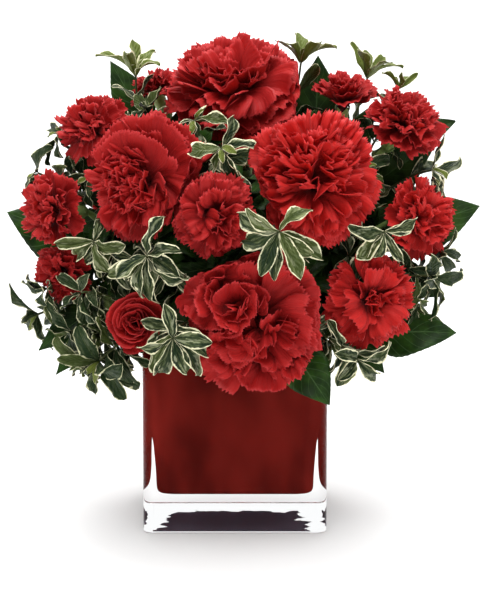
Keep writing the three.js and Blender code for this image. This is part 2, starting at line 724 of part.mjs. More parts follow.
// Bends a point of a leaf clear of the blooms and their calyxes, as a leaf lies over or under them.
function bentClear(point) {
  const p = point.clone();
  for (let pass = 0; pass < 3; pass++)
    for (const { origin, radius, calyx, axes } of blooms) {
      const middle = moved(origin, axes.third, BLOOM_ROOM.up * radius);
      const from = p.clone().sub(middle);
      const up = from.dot(axes.third);
      const outwards = Math.sqrt(Math.max(0, from.lengthSq() - up * up));
      const depth = Math.hypot(outwards / (BLOOM_ROOM.wide * radius), up / (BLOOM_ROOM.deep * radius));
      if (depth < 1 && depth > 1e-6) p.copy(moved(middle, from, 1 / depth));
      const height = p.clone().sub(origin).dot(axes.third);
      const nearest = moved(origin, axes.third, Math.min(0, Math.max(-calyx.length, height)));
      const away = p.clone().sub(nearest);
      const clear = calyx.radius + CALYX_ROOM;
      if (away.length() < clear) p.copy(moved(nearest, away.normalize(), clear));
    }
  return p;
}

// A point of a leaf: along runs from its base, 0, to its tip, 1, and across from -1 to 1.
function leafPoint(leaf, across, along) {
  const turned = leaf.arch * along;
  const half = leaf.half * leaf.outline(along);
  const normal = blend(leaf.up, Math.cos(turned), leaf.way, Math.sin(turned));
  const point = moved(leaf.base, leaf.way, (leaf.length * Math.sin(turned)) / leaf.arch);
  point.addScaledVector(leaf.up, (-leaf.length * (1 - Math.cos(turned))) / leaf.arch);
  point.addScaledVector(leaf.way.clone().cross(leaf.up), half * across * Math.cos(leaf.fold));
  point.addScaledVector(normal, half * Math.abs(across) * Math.sin(leaf.fold));
  return point.lerp(bentClear(point), smooth(along / BENT_BY));
}

// Half widths along a leaf. A pittosporum leaf is widest near its rounded tip, and a salal leaf
// near its base, with a drawn-out point.
const OBOVATE = (t) => 0.08 + 0.92 * Math.sin(Math.PI * t ** 1.25) ** 0.8;
const OVATE = (t) => Math.sin(Math.PI * t ** 0.72) ** 0.9 * (1 - 0.25 * t);

// One leaf of a whorl around a twig.
function whorlLeaf(twig, whorl, middle, axes, turn, seed, open) {
  const out = outwardsAt(axes, turn + jitter(seed, 0.25));
  const angle = THREE.MathUtils.degToRad(open + jitter(seed + 1, 14));
  const length = twig.leaf * whorl.size * (1 + jitter(seed + 2, 0.3));
  const way = blend(axes.third, Math.cos(angle), out, Math.sin(angle));
  return {
    base: moved(middle, out, TWIG + LEAF_SEAT),
    way,
    up: moved(axes.third, way, -axes.third.dot(way)).normalize(),
    length,
    half: LEAF_SHAPE * length,
    arch: LEAF_ARCH + jitter(seed + 3, 0.5),
    fold: 0,
    outline: OBOVATE,
  };
}

// A whorl of leaves in one blade around the twig.
function whorlSolid(twig, path, whorl, firstSeed) {
  const middle = path.bend.getPoint(nearTip(whorl.at));
  const axes = axesAlong(path.bend.getTangent(nearTip(whorl.at)));
  const count = whorl.count ?? twig.count;
  const lobes = Array.from({ length: count }, (_, i) => {
    const turn = (2 * Math.PI * i) / count + twig.roll;
    const leaf = whorlLeaf(twig, whorl, middle, axes, turn, firstSeed + CHANCES * i, LEAF_OPEN[i % 2]);
    const rows = whorl.rows.map((t) => [leafPoint(leaf, 1, t), leafPoint(leaf, -1, t)]);
    return [...rows, [leafPoint(leaf, 0, 1)]];
  });
  return blade(star(lobes), LEAF);
}

function pittosporumSolid(twig, index) {
  const path = fromVase(twig.foot, vec(twig.tip), unit(twig.way), STEM_BENDS);
  const whorls = WHORLS.map((whorl, level) => {
    const seed = LEAF_SEEDS.first + LEAF_SEEDS.spray * index + LEAF_SEEDS.whorl * level;
    return whorlSolid(twig, path, whorl, seed);
  });
  return fuse([rod(path, TWIG, TWIG_SIDES), ...whorls]);
}

// A leaf whose arch spans the straight line from its base to its tip.
function salalLeaf({ from, to, up, half }) {
  const chord = vec(to).sub(vec(from));
  const along = chord.clone().normalize();
  const facing = moved(unit(up), along, -unit(up).dot(along)).normalize();
  const turn = SALAL_ARCH / 2;
  return {
    base: vec(from),
    way: blend(along, Math.cos(turn), facing, Math.sin(turn)),
    up: blend(facing, Math.cos(turn), along, -Math.sin(turn)),
    length: (chord.length() * turn) / Math.sin(turn),
    half,
    arch: SALAL_ARCH,
    fold: SALAL_FOLD,
    outline: OVATE,
  };
}

// A leaf in one blade, with a rib along its middle.
function ribbedLeaf(leaf) {
  const rows = SALAL_ROWS.map((t) => [1, 0, -1].map((across) => leafPoint(leaf, across, t)));
  return blade(star([[[leafPoint(leaf, 0, 0)], ...rows, [leafPoint(leaf, 0, 1)]]]), LEAF);
}

function salalSolid({ foot, leaves }) {
  const pieces = leaves.flatMap((measures) => {
    const leaf = salalLeaf(measures);
    const stalk = fromVase(foot, moved(leaf.base, leaf.way, STALK_OVERLAP), leaf.way, SALAL_BENDS);
    return [rod(stalk, TWIG, TWIG_SIDES), ribbedLeaf(leaf)];
  });
  return fuse(pieces);
}

// The bouquet in its vase

const bouquet = new THREE.Group();

function add(name, solid, material) {
  const mesh = new THREE.Mesh(geometryOf(solid), material);
  mesh.name = name;
  bouquet.add(mesh);
}

add("vase_glass", vaseGlass(), CLEAR);
add("ruby_lining", rubyLining(), DARK_RED);
add("water", water(), WATER);
blooms.forEach((bloom) => add(bloom.name, bloomSolid(bloom), RED));
Object.entries(STEMS).forEach(([name, stem]) => add(name, stemSolid(stem), GREEN));
Object.entries(PITTOSPORUM).forEach(([name, stem], i) => add(name, pittosporumSolid(stem, i), CREAM_GREEN));
Object.entries(SALAL).forEach(([name, stem]) => add(name, salalSolid(stem), LEAF_GREEN));

export default bouquet;
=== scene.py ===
# Dark red carnations with variegated pittosporum and salal leaves in a ruby-lined square glass vase.
# Layout values are in millimetres, as on the object, and meshes are made in metres.
import math
from typing import NamedTuple

import bpy
import numpy as np
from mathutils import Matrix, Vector


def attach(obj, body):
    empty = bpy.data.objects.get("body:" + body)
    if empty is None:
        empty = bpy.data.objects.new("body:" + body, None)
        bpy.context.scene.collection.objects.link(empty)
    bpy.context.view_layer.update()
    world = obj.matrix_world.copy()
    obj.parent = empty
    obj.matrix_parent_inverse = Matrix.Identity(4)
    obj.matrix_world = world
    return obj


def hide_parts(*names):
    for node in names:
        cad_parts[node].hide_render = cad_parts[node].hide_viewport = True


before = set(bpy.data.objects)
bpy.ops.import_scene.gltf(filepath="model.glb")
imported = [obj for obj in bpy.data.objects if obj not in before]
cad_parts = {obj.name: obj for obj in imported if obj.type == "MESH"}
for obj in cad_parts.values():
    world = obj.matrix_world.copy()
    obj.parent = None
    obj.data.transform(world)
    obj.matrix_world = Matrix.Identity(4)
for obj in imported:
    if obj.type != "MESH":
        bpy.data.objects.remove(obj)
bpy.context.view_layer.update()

MM = 0.001

# Vase
SIDE = 120
CORNER = 7
BASE = 24
WALL_TOP = 4
WALL_FOOT = 9
LINING = 1.2
GAP = 0.3
CORNER_STEPS = 9
THINS_OVER = 0.8 * (SIDE - BASE)
INTO_GLASS = 0.05

# Stems
STEM_FOOT = BASE + 4
STRAIGHT_TO = 102
HANGING = 160
ARCH_RISE = 0.7
RISE = 0.38
ARRIVE = 0.3
TAPER = 1.6
FORK_SINK = 3
FORKED_STEM = 2
TWIG = 1.3
KNOTS_FROM = 17
KNOTS_APART = 46
KNOT_LENGTH = 2.6
KNOT_SWELLS = 0.3
SCALE_THICK = 0.4
STEM_STEPS = 28
STEM_SIDES = 12
TWIG_STEPS = 26
BIG_CALYX = {"radius": 7.5, "length": 25, "stem": 2.4}
SMALL_CALYX = {"radius": 4.6, "length": 18, "stem": 1.7}

# Each bloom: the middle of its calyx mouth, the way it faces, its radius, its form and its turn
BLOOMS = {
    "carnation_top": ((1, 12, 273), (-0.05, -0.5, 0.86), 47, "big", 0.2),
    "carnation_left": ((-50, -60, 230), (-0.33, -0.85, 0.4), 40, "big", 1),
    "carnation_right": ((46, -60, 229), (0.3, -0.85, 0.42), 42, "big", 0.5),
    "carnation_front": ((10, -86, 152), (0.03, -0.99, -0.06), 46, "big", 0.9),
    "carnation_back": ((5, 74, 231), (0.02, 0.76, 0.64), 42, "big", 0.1),
    "small_upper_left": ((-88, -25, 258), (-0.5, -0.62, 0.55), 25, "small", 0.4),
    "small_left": ((-111, -37, 209), (-0.78, -0.6, 0.1), 26, "small", 0),
    "small_lower_left": ((-107, -34, 171), (-0.66, -0.66, -0.3), 22, "small", 0.7),
    "small_centre": ((-13, -86, 213), (0.02, -0.97, 0.2), 27, "small", 0.3),
    "small_upright": ((71, 10, 270), (0.06, -0.22, 0.97), 22, "cup", 0.8),
    "small_upper_right": ((107, -10, 258), (0.45, -0.52, 0.72), 27, "small", 1.2),
    "small_right": ((114, -30, 203), (0.66, -0.7, 0.2), 27, "small", 0.9),
    "small_lower_right": ((83, -68, 157), (0.33, -0.93, 0.02), 30, "small", 0.15),
    "small_bud": ((-60, -72, 143), (-0.15, -0.97, 0.12), 21, "bud", 0.5),
    "small_top_left": ((-52, 44, 276), (-0.35, -0.15, 0.92), 19, "small", 0.6),
    "small_back_left": ((-74, 58, 207), (-0.62, 0.74, 0.25), 27, "small", 1.1),
    "small_back_right": ((84, 58, 205), (0.66, 0.7, 0.28), 28, "small", 0.35),
    "small_back_low": ((6, 90, 163), (0.02, 0.99, 0.1), 28, "small", 0.75),
}


class Ring(NamedTuple):
    """Petals in a ring or part of one, lengths in shares of the bloom's radius and turns in degrees."""

    count: int
    opening: float
    length: float
    half: float
    ruffle: float
    fold: float
    tier: float
    curl: float
    start: float = None
    span: float = 360
    aside: tuple = (0, 0)


# Four general forms, which begin with the whorls of the frame's solids, and six blooms' own forms
BIG = [
    Ring(5, 94, 1.04, 0.64, 0.06, 0.25, 0, 4),
    Ring(4, 60, 0.96, 0.56, 0.07, 0.4, 1, 22),
    Ring(3, 26, 0.9, 0.5, 0.08, 0.7, 2, 42),
    Ring(5, 82, 1, 0.62, 0.07, 0.3, 0.3, 10),
    Ring(4, 70, 0.96, 0.58, 0.08, 0.35, 0.7, 16),
    Ring(4, 44, 0.92, 0.5, 0.09, 0.5, 1.5, 36),
    Ring(4, 30, 0.86, 0.46, 0.09, 0.7, 1.8, 44),
    Ring(3, 30, 0.55, 0.36, 0.09, 0.9, 3.5, 40, aside=(0.3, 0.2)),
    Ring(3, 20, 0.5, 0.34, 0.09, 1.1, 3.5, 40, aside=(-0.32, 0.1)),
    Ring(3, 24, 0.5, 0.34, 0.09, 1, 3.5, 40, aside=(0.05, -0.34)),
]
SMALL = [
    Ring(5, 92, 1.04, 0.6, 0.07, 0.2, 0, 4),
    Ring(3, 45, 0.95, 0.5, 0.09, 0.5, 1, 30),
    Ring(4, 74, 0.98, 0.56, 0.08, 0.3, 0.5, 14),
    Ring(3, 52, 0.92, 0.5, 0.1, 0.5, 0.9, 30),
    Ring(3, 30, 0.82, 0.42, 0.1, 0.8, 1.5, 44),
    Ring(3, 14, 0.6, 0.36, 0.1, 1, 3, 40, aside=(0.2, -0.1)),
    Ring(2, 20, 0.6, 0.36, 0.1, 1, 3, 40, aside=(-0.2, 0.12)),
]
FORMS = {
    "big": BIG,
    "small": SMALL,
    "small_upper_right": SMALL + [
        Ring(4, 34, 0.85, 0.5, 0.08, 0.6, 0.4, 20),
        Ring(3, 10, 0.7, 0.46, 0.08, 1.1, 1, 24),
        Ring(4, 56, 0.8, 0.5, 0.07, 0.5, 0.6, 20, 60, 150),
    ],
    "cup": [
        Ring(5, 62, 1.15, 0.58, 0.05, 0.5, 0, 16),
        Ring(3, 25, 1.05, 0.44, 0.07, 0.7, 1, 20),
        Ring(5, 48, 1.08, 0.54, 0.05, 0.5, 0.5, 24),
        Ring(4, 32, 1.04, 0.5, 0.06, 0.7, 0.8, 24),
        Ring(3, 12, 0.96, 0.42, 0.08, 1.1, 1.5, 20),
    ],
    "bud": [
        Ring(4, 50, 1.15, 0.8, 0.02, 1.1, 0, 4),
        Ring(3, 18, 1, 0.62, 0.02, 1.3, 1, 0),
        Ring(4, 38, 1.1, 0.72, 0.02, 1.2, 0.4, 2),
        Ring(4, 27, 1.04, 0.62, 0.02, 1.3, 0.7, 0),
        Ring(3, 9, 0.96, 0.5, 0.03, 1.5, 1.2, 0),
        Ring(3, 2, 0.88, 0.34, 0.1, 1.9, 1.3, 0),
    ],
    # Broad tongues at the upper right, crumpled petals at the left and below
    "carnation_left": [
        BIG[0],
        BIG[4],
        Ring(3, 64, 1.04, 0.64, 0.03, 0.35, 0.8, -4, 15, 130),
        Ring(2, 44, 1, 0.58, 0.03, 0.5, 1.2, 0, 35, 90),
        Ring(5, 70, 0.95, 0.34, 0.12, 0.7, 0.8, 24, 120, 140),
        Ring(5, 52, 0.85, 0.34, 0.13, 0.8, 1.4, 26, 125, 140),
        Ring(5, 36, 0.72, 0.3, 0.13, 1.1, 2.2, 26, 130, 150),
        Ring(4, 22, 0.6, 0.28, 0.13, 1.3, 2.6, 30, aside=(-0.3, 0.12)),
        Ring(4, 66, 0.9, 0.44, 0.09, 0.6, 1, 26, 215, 130),
        Ring(3, 48, 0.72, 0.38, 0.1, 0.8, 1.8, 40, 220, 110),
        Ring(3, 24, 0.55, 0.3, 0.1, 1.3, 2.6, 30, aside=(-0.12, -0.3)),
    ],
    # A fan on the right, a cup round a hollow at the upper left and folds between them
    "carnation_front": [
        Ring(5, 94, 1.04, 0.64, 0.05, 0.25, 0, 2),
        Ring(4, 82, 1, 0.66, 0.04, 0.25, 0.4, 4, -75, 150),
        Ring(4, 66, 0.92, 0.56, 0.05, 0.35, 1, 8, -60, 140),
        Ring(3, 76, 0.88, 0.52, 0.05, 0.5, 0.5, 10, 115, 130),
        Ring(4, 52, 0.58, 0.4, 0.05, 0.7, 2, 20, aside=(-0.4, 0.36)),
        Ring(3, 30, 0.6, 0.44, 0.03, 0.9, 2.6, 16, aside=(-0.3, 0.22)),
        Ring(2, 12, 0.5, 0.34, 0.04, 1.2, 2.8, 10, aside=(-0.3, 0.26)),
        Ring(4, 46, 0.62, 0.4, 0.06, 0.8, 2, 20, aside=(0.28, -0.35)),
        Ring(3, 24, 0.5, 0.3, 0.07, 1.2, 2.6, 14, aside=(0.3, -0.36)),
        Ring(4, 30, 0.6, 0.28, 0.08, 1.4, 2.6, 20, aside=(0.02, -0.1)),
        Ring(3, 60, 0.75, 0.42, 0.06, 0.6, 1.5, 24, 180, 90),
        Ring(3, 40, 0.6, 0.36, 0.07, 0.8, 2, 24, aside=(-0.3, -0.35)),
    ],
    # Broad petals that droop in front, tall ones behind a crumpled middle and one at the right
    "carnation_top": [
        Ring(5, 92, 1.04, 0.66, 0.06, 0.25, 0, 4),
        Ring(4, 60, 0.84, 0.56, 0.08, 0.4, 1, 26),
        Ring(3, 26, 0.66, 0.48, 0.09, 0.7, 2, 46),
        Ring(5, 80, 0.9, 0.62, 0.07, 0.3, 0.3, 10),
        Ring(1, 92, 1.08, 0.6, 0.03, 0.2, 0.9, 0, -54, 40),
        Ring(3, 106, 0.8, 0.62, 0.04, 0.3, 1, 6, -158, 130),
        Ring(3, 70, 0.84, 0.62, 0.04, 0.35, 1.3, 50, -140, 120),
        Ring(2, 2, 0.72, 0.6, 0.03, 0.5, 1.4, 30, -135, 100),
        Ring(4, 46, 0.84, 0.56, 0.04, 0.4, 0.4, 10, 36, 134),
        Ring(2, 58, 1, 0.5, 0.06, 0.5, 0.8, 6, 145, 50),
        Ring(3, 28, 0.7, 0.58, 0.04, 0.6, 1, 16, 40, 120),
        Ring(3, 34, 0.62, 0.42, 0.08, 0.8, 1.6, 24, 80, 170),
        Ring(3, 18, 0.46, 0.4, 0.07, 0.9, 2.2, 30, aside=(-0.34, 0.06)),
        Ring(2, 14, 0.5, 0.46, 0.05, 0.8, 2, 24, aside=(0.2, 0.06)),
    ],
    # A dome of short ruffles above broad drooping petals
    "carnation_right": [
        BIG[0],
        Ring(4, 74, 1, 0.5, 0.08, 0.35, 0.7, 16, 190, 160),
        Ring(4, 96, 1.02, 0.46, 0.05, 0.4, 1, 10, 215, 120),
        Ring(6, 72, 1, 0.4, 0.11, 0.6, 0.8, 20, -10, 200),
        Ring(7, 56, 0.95, 0.36, 0.13, 0.7, 1.3, 22, -10, 200),
        Ring(7, 42, 0.85, 0.34, 0.13, 0.9, 1.8, 24, -5, 190),
        Ring(5, 28, 0.75, 0.32, 0.13, 1.1, 2.2, 24, 0, 180),
        Ring(4, 14, 0.62, 0.3, 0.13, 1.3, 2.6, 24, aside=(0.1, 0.1)),
        Ring(3, 60, 0.8, 0.36, 0.07, 0.7, 1.4, 20, 200, 140),
    ],
    # An open star with few inner petals
    "small_lower_right": [
        Ring(5, 92, 1.04, 0.56, 0.08, 0.2, 0, 0),
        SMALL[1],
        Ring(5, 80, 1.02, 0.42, 0.08, 0.4, 0.5, 0),
        Ring(3, 62, 0.72, 0.36, 0.08, 0.6, 1, 6),
        Ring(2, 30, 0.6, 0.34, 0.1, 0.9, 1.5, 20),
        Ring(3, 46, 0.5, 0.34, 0.08, 0.8, 0.6, 16),
        Ring(3, 14, 0.46, 0.3, 0.08, 1.1, 1, 20),
    ],
}

# Petals: shares of the bloom's radius or the petal's length, rows and teeth, and in millimetres
HUB = 0.1
CLAW_WIDTH = 0.06
WIDENS = (0.1, 0.8)
RUFFLED = (0.25, 0.75)
CURLED = (0.45, 0.5)
ROUNDED = 0.12
LAP = 0.2
TOOTH = {"big": 0.04, "small": 0.065, "cup": 0.05, "bud": 0.012}
TIER = 0.08
BEND_END = 0.32
BEND_STEPS = 24
BIG_GRID = (9, 22)
SMALL_GRID = (8, 13)
PETAL_THICK = 0.4
PETAL_DRAWS = 7000

# Rings from this one on are scattered more than those before it
LOOSE_FROM = 3
LOOSE_TURN = 2.4
LOOSE_OPENING = 22
STRAY = 0.16

# Blooms in fuller light, given painted light: a brighter red and less of the random darker tint
PAINTED_LIGHT_BLOOMS = {"small_lower_right", "small_right", "carnation_right"}

# How neighbouring blooms press each other flat
HEART = 0.3
REACHES = 12
PRESS = 5
CONTACT_WAVE = 1.6
WAVES_PER_MM = 0.3
WAVE_SLANT = 0.8

# Leaves: widths in shares of the length, and grids in rows and columns
LIT_ROWS, DIM_ROWS = 16, 10
PITTOSPORUM_COLS = 7
INNER_GRID = (7, 4)
SALAL_GRID = (37, 13)
PITTOSPORUM_WIDTH = 0.215
INNER_WIDTH = 0.27
LEAF_OPEN = (54, 76)
LEAF_ARCH = 0.85
SALAL_ARCH = 0.35
SALAL_FOLD = 0.14
BENT_BY = 0.4
LEAF_THICK = 0.45
SALAL_THICK = 0.5
CALYX_ROOM = 2.5
SPRAY_DRAWS = 9000
MORE_DRAWS = 18000
DRAWS_APART = 300

# High tips are fresh green, and some sprays have a whorl of young leaves in their tips
FRESH_FROM = 268
FRESH_OVER = 18
YOUNG_TIPS_FROM = 225
YOUNG_LOW = {"far_left", "hanging"}
YOUNG_WHORL = 2

# The room that leaves leave to a bloom, in shares of its radius: middle's height, width and depth
BLOOM_ROOM = {
    "big": (0.34, 1.08, 0.6),
    "small": (0.34, 1.08, 0.58),
    "cup": (0.4, 1.05, 0.7),
    "bud": (0.55, 1.1, 0.8),
}

# More pittosporum sprays between the frame's own, out of full light and so in painted shade: foot, tip, way,
# leaf length, leaves in the tip whorl and its turn
MORE_SPRAYS = {
    "left_upper": ((-34, 6), (-114, -6, 256), (-0.6, -0.3, 0.75), 21, 5, 0.2),
    "upper_left": ((-20, 2), (-57, -5, 268), (-0.2, -0.3, 0.9), 19, 5, 0.9),
    "upper_right": ((36, 6), (108, 10, 284), (0.3, -0.1, 0.95), 17, 4, 0.4),
    "low_left": ((-44, -36), (-98, -66, 116), (-0.6, -0.4, -0.65), 24, 4, 0.1),
    "mid_left": ((-38, -10), (-92, -40, 232), (-0.6, -0.6, 0.5), 19, 5, 0.5),
    "lower_left": ((-42, -12), (-122, -40, 158), (-0.8, -0.5, -0.3), 24, 5, 0.9),
    "lower_right": ((42, -10), (118, -44, 146), (0.8, -0.5, -0.3), 24, 5, 0.1),
    "mid_right": ((38, -4), (82, -30, 236), (0.4, -0.7, 0.5), 20, 5, 0.7),
    "right_upper": ((40, 8), (100, 8, 246), (0.4, -0.5, 0.6), 20, 5, 0.3),
    "far_left_upper": ((-40, 4), (-104, 0, 246), (-0.4, -0.5, 0.6), 19, 5, 0.8),
    "right_side": ((40, -6), (134, -26, 180), (0.8, -0.5, -0.1), 21, 5, 0.4),
    "low_right_inner": ((34, -42), (62, -62, 126), (0.4, -0.8, -0.3), 20, 5, 0.3),
    "low_far_left": ((-44, -28), (-106, -50, 132), (-0.8, -0.4, -0.4), 24, 5, 0.4),
    "low_left_inner": ((-42, -40), (-84, -62, 130), (-0.5, -0.6, -0.6), 24, 5, 0.7),
    "right_low": ((44, -18), (112, -44, 172), (0.6, -0.7, -0.3), 22, 5, 0.6),
}

# More salal leaves low down and at both sides
MORE_SALAL = {
    "salal_low_left": ((-42, -16), [
        ((-88, -30, 146), (-128, -42, 118), (-0.2, -0.9, 0.3), 13),
        ((-84, -36, 138), (-116, -52, 104), (-0.3, -0.9, 0.1), 12),
    ]),
    "salal_low_right_inner": ((42, -38), [((66, -48, 138), (96, -66, 108), (0.1, -0.95, 0.3), 14)]),
    "salal_mid_right": ((44, -12), [
        ((94, -22, 170), (136, -34, 152), (0.2, -0.9, 0.3), 14),
        ((84, -8, 200), (130, -16, 180), (0.1, -0.95, 0.2), 16),
    ]),
    "salal_mid_left": ((-42, 4), [((-78, -4, 212), (-104, -6, 242), (-0.2, -0.95, 0.1), 15)]),
}

# Short sprays that fill the inside of the bouquet, spread evenly over a round space
INNER_SPRAYS = 44
INNER_DRAWS = 40000
INNER_MIDDLE = (0, 0, 178)
INNER_REACH = (90, 66, 74)
INNER_FOOT = 36
INNER_LEAF = 30
LOWEST, HIGHEST = -0.5, 0.88
GOLDEN_TURN = 2.39996

# Carnation stems: foot in the vase, blooms and fork
STEMS = {
    "stem_top": ((2, 6), ["carnation_top"]),
    "stem_left": ((-22, -22), ["carnation_left"]),
    "stem_right": ((20, -22), ["carnation_right"]),
    "stem_front": ((6, -42), ["carnation_front"]),
    "stem_back": ((3, 24), ["carnation_back"]),
    "stem_upper_left": ((-24, 0), ["small_upper_left", "small_top_left"], (-52, 6, 214)),
    "stem_side_left": ((-40, -8), ["small_left", "small_lower_left"], (-74, -16, 160)),
    "stem_centre": ((-6, -27), ["small_centre"]),
    "stem_upper_right": ((26, 2), ["small_upright", "small_upper_right"], (62, 2, 208)),
    "stem_side_right": ((38, -8), ["small_right", "small_lower_right"], (64, -26, 158)),
    "stem_bud": ((-28, -40), ["small_bud"]),
    "stem_back_left": ((-24, 26), ["small_back_left"]),
    "stem_back_right": ((26, 27), ["small_back_right", "small_back_low"], (38, 50, 158)),
}

# Pittosporum sprays: foot, tip, way, leaf length, leaves in the tip whorl, its turn,
# and whether full light falls on them; those out of it get narrower cream margins and painted shade
PITTOSPORUM = {
    "top_left": ((-31, 16), (-66, 18, 292), (0, -0.15, 0.99), 27, 5, 0.3, True),
    "left_high": ((-38, 8), (-129, -15, 231), (-0.9, -0.3, 0.35), 25, 5, 1.2, False),
    "mid_high": ((-12, -12), (-26, -40, 268), (-0.1, -0.75, 0.65), 22, 5, 0.2, True),
    "centre": ((8, -14), (-8, -79, 254), (0.05, -0.9, 0.4), 24, 6, 0.3, True),
    "rosette": ((20, -36), (27, -124, 208), (0.05, -0.97, 0.1), 29, 7, 0.1, True),
    "front_left": ((-16, -32), (-54, -108, 190), (-0.15, -0.95, 0.1), 28, 7, 0.6, True),
    "left_mid": ((-44, -24), (-89, -72, 194), (-0.5, -0.8, 0.2), 24, 5, 0, True),
    "low_front": ((-14, -42), (-38, -125, 142), (0, -0.96, -0.2), 27, 6, 0.8, True),
    "left_low": ((-45, -33), (-97, -74, 162), (-0.6, -0.8, 0.05), 21, 5, 0.9, False),
    "far_left": ((-43, -1), (-130, -20, 138), (-0.85, -0.35, -0.3), 25, 5, 0.6, False),
    "hanging": ((-43, -43), (-86, -78, 118), (-0.6, -0.5, -0.6), 30, 6, 0.2, False),
    "top_right": ((12, 12), (44, 28, 300), (0.1, -0.1, 0.98), 26, 5, 0.5, False),
    "right_high": ((36, 12), (89, 38, 289), (0.25, 0.05, 0.96), 25, 6, 0.1, False),
    "right": ((45, 4), (129, -15, 233), (0.8, -0.45, 0.2), 26, 6, 0.7, True),
    "right_mid": ((42, -26), (94, -82, 202), (0.35, -0.9, 0.2), 26, 6, 0.3, True),
    "right_low": ((44, -42), (127, -50, 168), (0.8, -0.5, -0.1), 25, 6, 0.6, False),
    "low_right": ((30, -46), (77, -92, 122), (0.5, -0.75, -0.4), 22, 5, 0.9, True),
    "back_left": ((-42, 44), (-62, 86, 156), (-0.5, 0.85, -0.05), 30, 5, 0.4, False),
    "back_right": ((44, 44), (62, 90, 158), (0.5, 0.85, 0), 30, 5, 0.8, False),
    "back_high": ((-8, 34), (-48, 94, 224), (-0.45, 0.85, 0.25), 24, 5, 0.2, True),
}

# Salal stems: foot, then each leaf's base, tip, the way its face looks and its half width
SALAL = {
    "salal_left": ((-40, 21), [
        ((-96, 16, 178), (-152, 8, 202), (-0.3, -0.9, 0.3), 25),
        ((-60, 72, 254), (-86, 74, 298), (-0.2, -0.95, 0.2), 15),
    ]),
    "salal_top": ((22, 14), [
        ((54, 34, 250), (56, 40, 304), (0.05, -0.98, 0.1), 17),
        ((40, 0, 236), (52, -14, 272), (0.2, -0.9, 0.3), 14),
    ]),
    "salal_upper_right": ((45, 18), [
        ((100, 26, 240), (147, 18, 262), (0.2, -0.8, 0.5), 17),
        ((92, 14, 212), (124, 8, 230), (0.2, -0.9, 0.3), 15),
        ((64, 30, 222), (94, 34, 272), (0.2, -0.9, 0.2), 15),
        ((94, 12, 222), (134, 4, 250), (0.2, -0.9, 0.3), 14),
    ]),
    "salal_right": ((46, -14), [((110, -4, 190), (161, -12, 209), (0.2, -0.9, 0.3), 20)]),
    "salal_low_right": ((46, -30), [((90, -38, 129), (143, -54, 132), (0.1, -0.9, 0.4), 19)]),
    "salal_hanging": ((17, -46), [((37, -74, 124), (60, -88, 92), (0.1, -0.95, 0.1), 17)]),
}


# Numbers and directions

def vec(v):
    return np.asarray(v, dtype=float)


def unit(v):
    v = vec(v)
    return v / np.linalg.norm(v)


def smooth(x):
    c = np.clip(x, 0, 1)
    return c * c * (3 - 2 * c)


def chance(n):
    """A number from 0 to 1 that looks drawn at random and is always the same for n."""
    x = math.sin(n * 12.9898 + 4.1414) * 43758.5453
    return x - math.floor(x)


def jitter(n, spread):
    return spread * (chance(n) - 0.5)


def near_tip(t):
    return 1 - (1 - t) ** TAPER


def axes_along(way):
    """Three directions square to each other, with the way as the third."""
    third = unit(way)
    first = np.cross((0, 0, 1), third)
    if np.linalg.norm(first) < 0.1:
        first = np.cross((1, 0, 0), third)
    first = unit(first)
    return first, np.cross(third, first), third


def outwards_at(axes, turn):
    return math.cos(turn) * axes[0] + math.sin(turn) * axes[1]


class Bloom:
    """A bloom's values, the axes it is turned by, its calyx and the middle of its petals."""

    def __init__(self, name, index, at, face, radius, form, turn):
        self.name, self.index, self.radius, self.form, self.turn = name, index, radius, form, turn
        self.origin = vec(at)
        self.axes = axes_along(face)
        self.calyx = BIG_CALYX if form == "big" else SMALL_CALYX
        self.heart = self.origin + HEART * radius * self.axes[2]


blooms = [Bloom(name, i, *values) for i, (name, values) in enumerate(BLOOMS.items())]
bloom_named = {bloom.name: bloom for bloom in blooms}


# Meshes

THIN_MARGIN = 0.35


class Form:
    """Points in millimetres, faces and painting values of one piece."""

    def __init__(self):
        self.points = []
        self.faces = []
        self.kinds = []
        self.paint = []
        self.total = 0

    def add(self, points, faces, kinds=None, **paint):
        points = vec(points).reshape(-1, 3)
        self.points.append(points)
        self.faces += [f + self.total for f in faces]
        self.kinds += kinds or [0] * len(faces)
        self.paint.append({k: np.broadcast_to(np.ravel(v), len(points)) for k, v in paint.items()})
        self.total += len(points)

    def mesh(self, name):
        mesh = bpy.data.meshes.new(name)
        faces = [face for group in self.faces for face in group.tolist()]
        mesh.from_pydata(np.concatenate(self.points) * MM, [], faces)
        mesh.shade_smooth()
        kinds = np.repeat(self.kinds, [len(f) for f in self.faces])
        mesh.polygons.foreach_set("material_index", kinds.astype(np.int32))
        for key in sorted({k for paint in self.paint for k in paint}):
            values = [p.get(key, np.zeros(len(q))) for p, q in zip(self.paint, self.points)]
            layer = mesh.attributes.new(key, "FLOAT", "POINT")
            layer.data.foreach_set("value", np.concatenate(values).astype(np.float32))
        return mesh


def piece(name, form, materials, slot, *nodes):
    """A form as an object, which hides the frame's nodes that it replaces. The slot is not used."""
    mesh = form.mesh(name)
    for material in materials:
        mesh.materials.append(material)
    item = bpy.data.objects.new(name, mesh)
    bpy.context.scene.collection.objects.link(item)
    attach(item, "root")
    if nodes:
        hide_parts(*nodes)


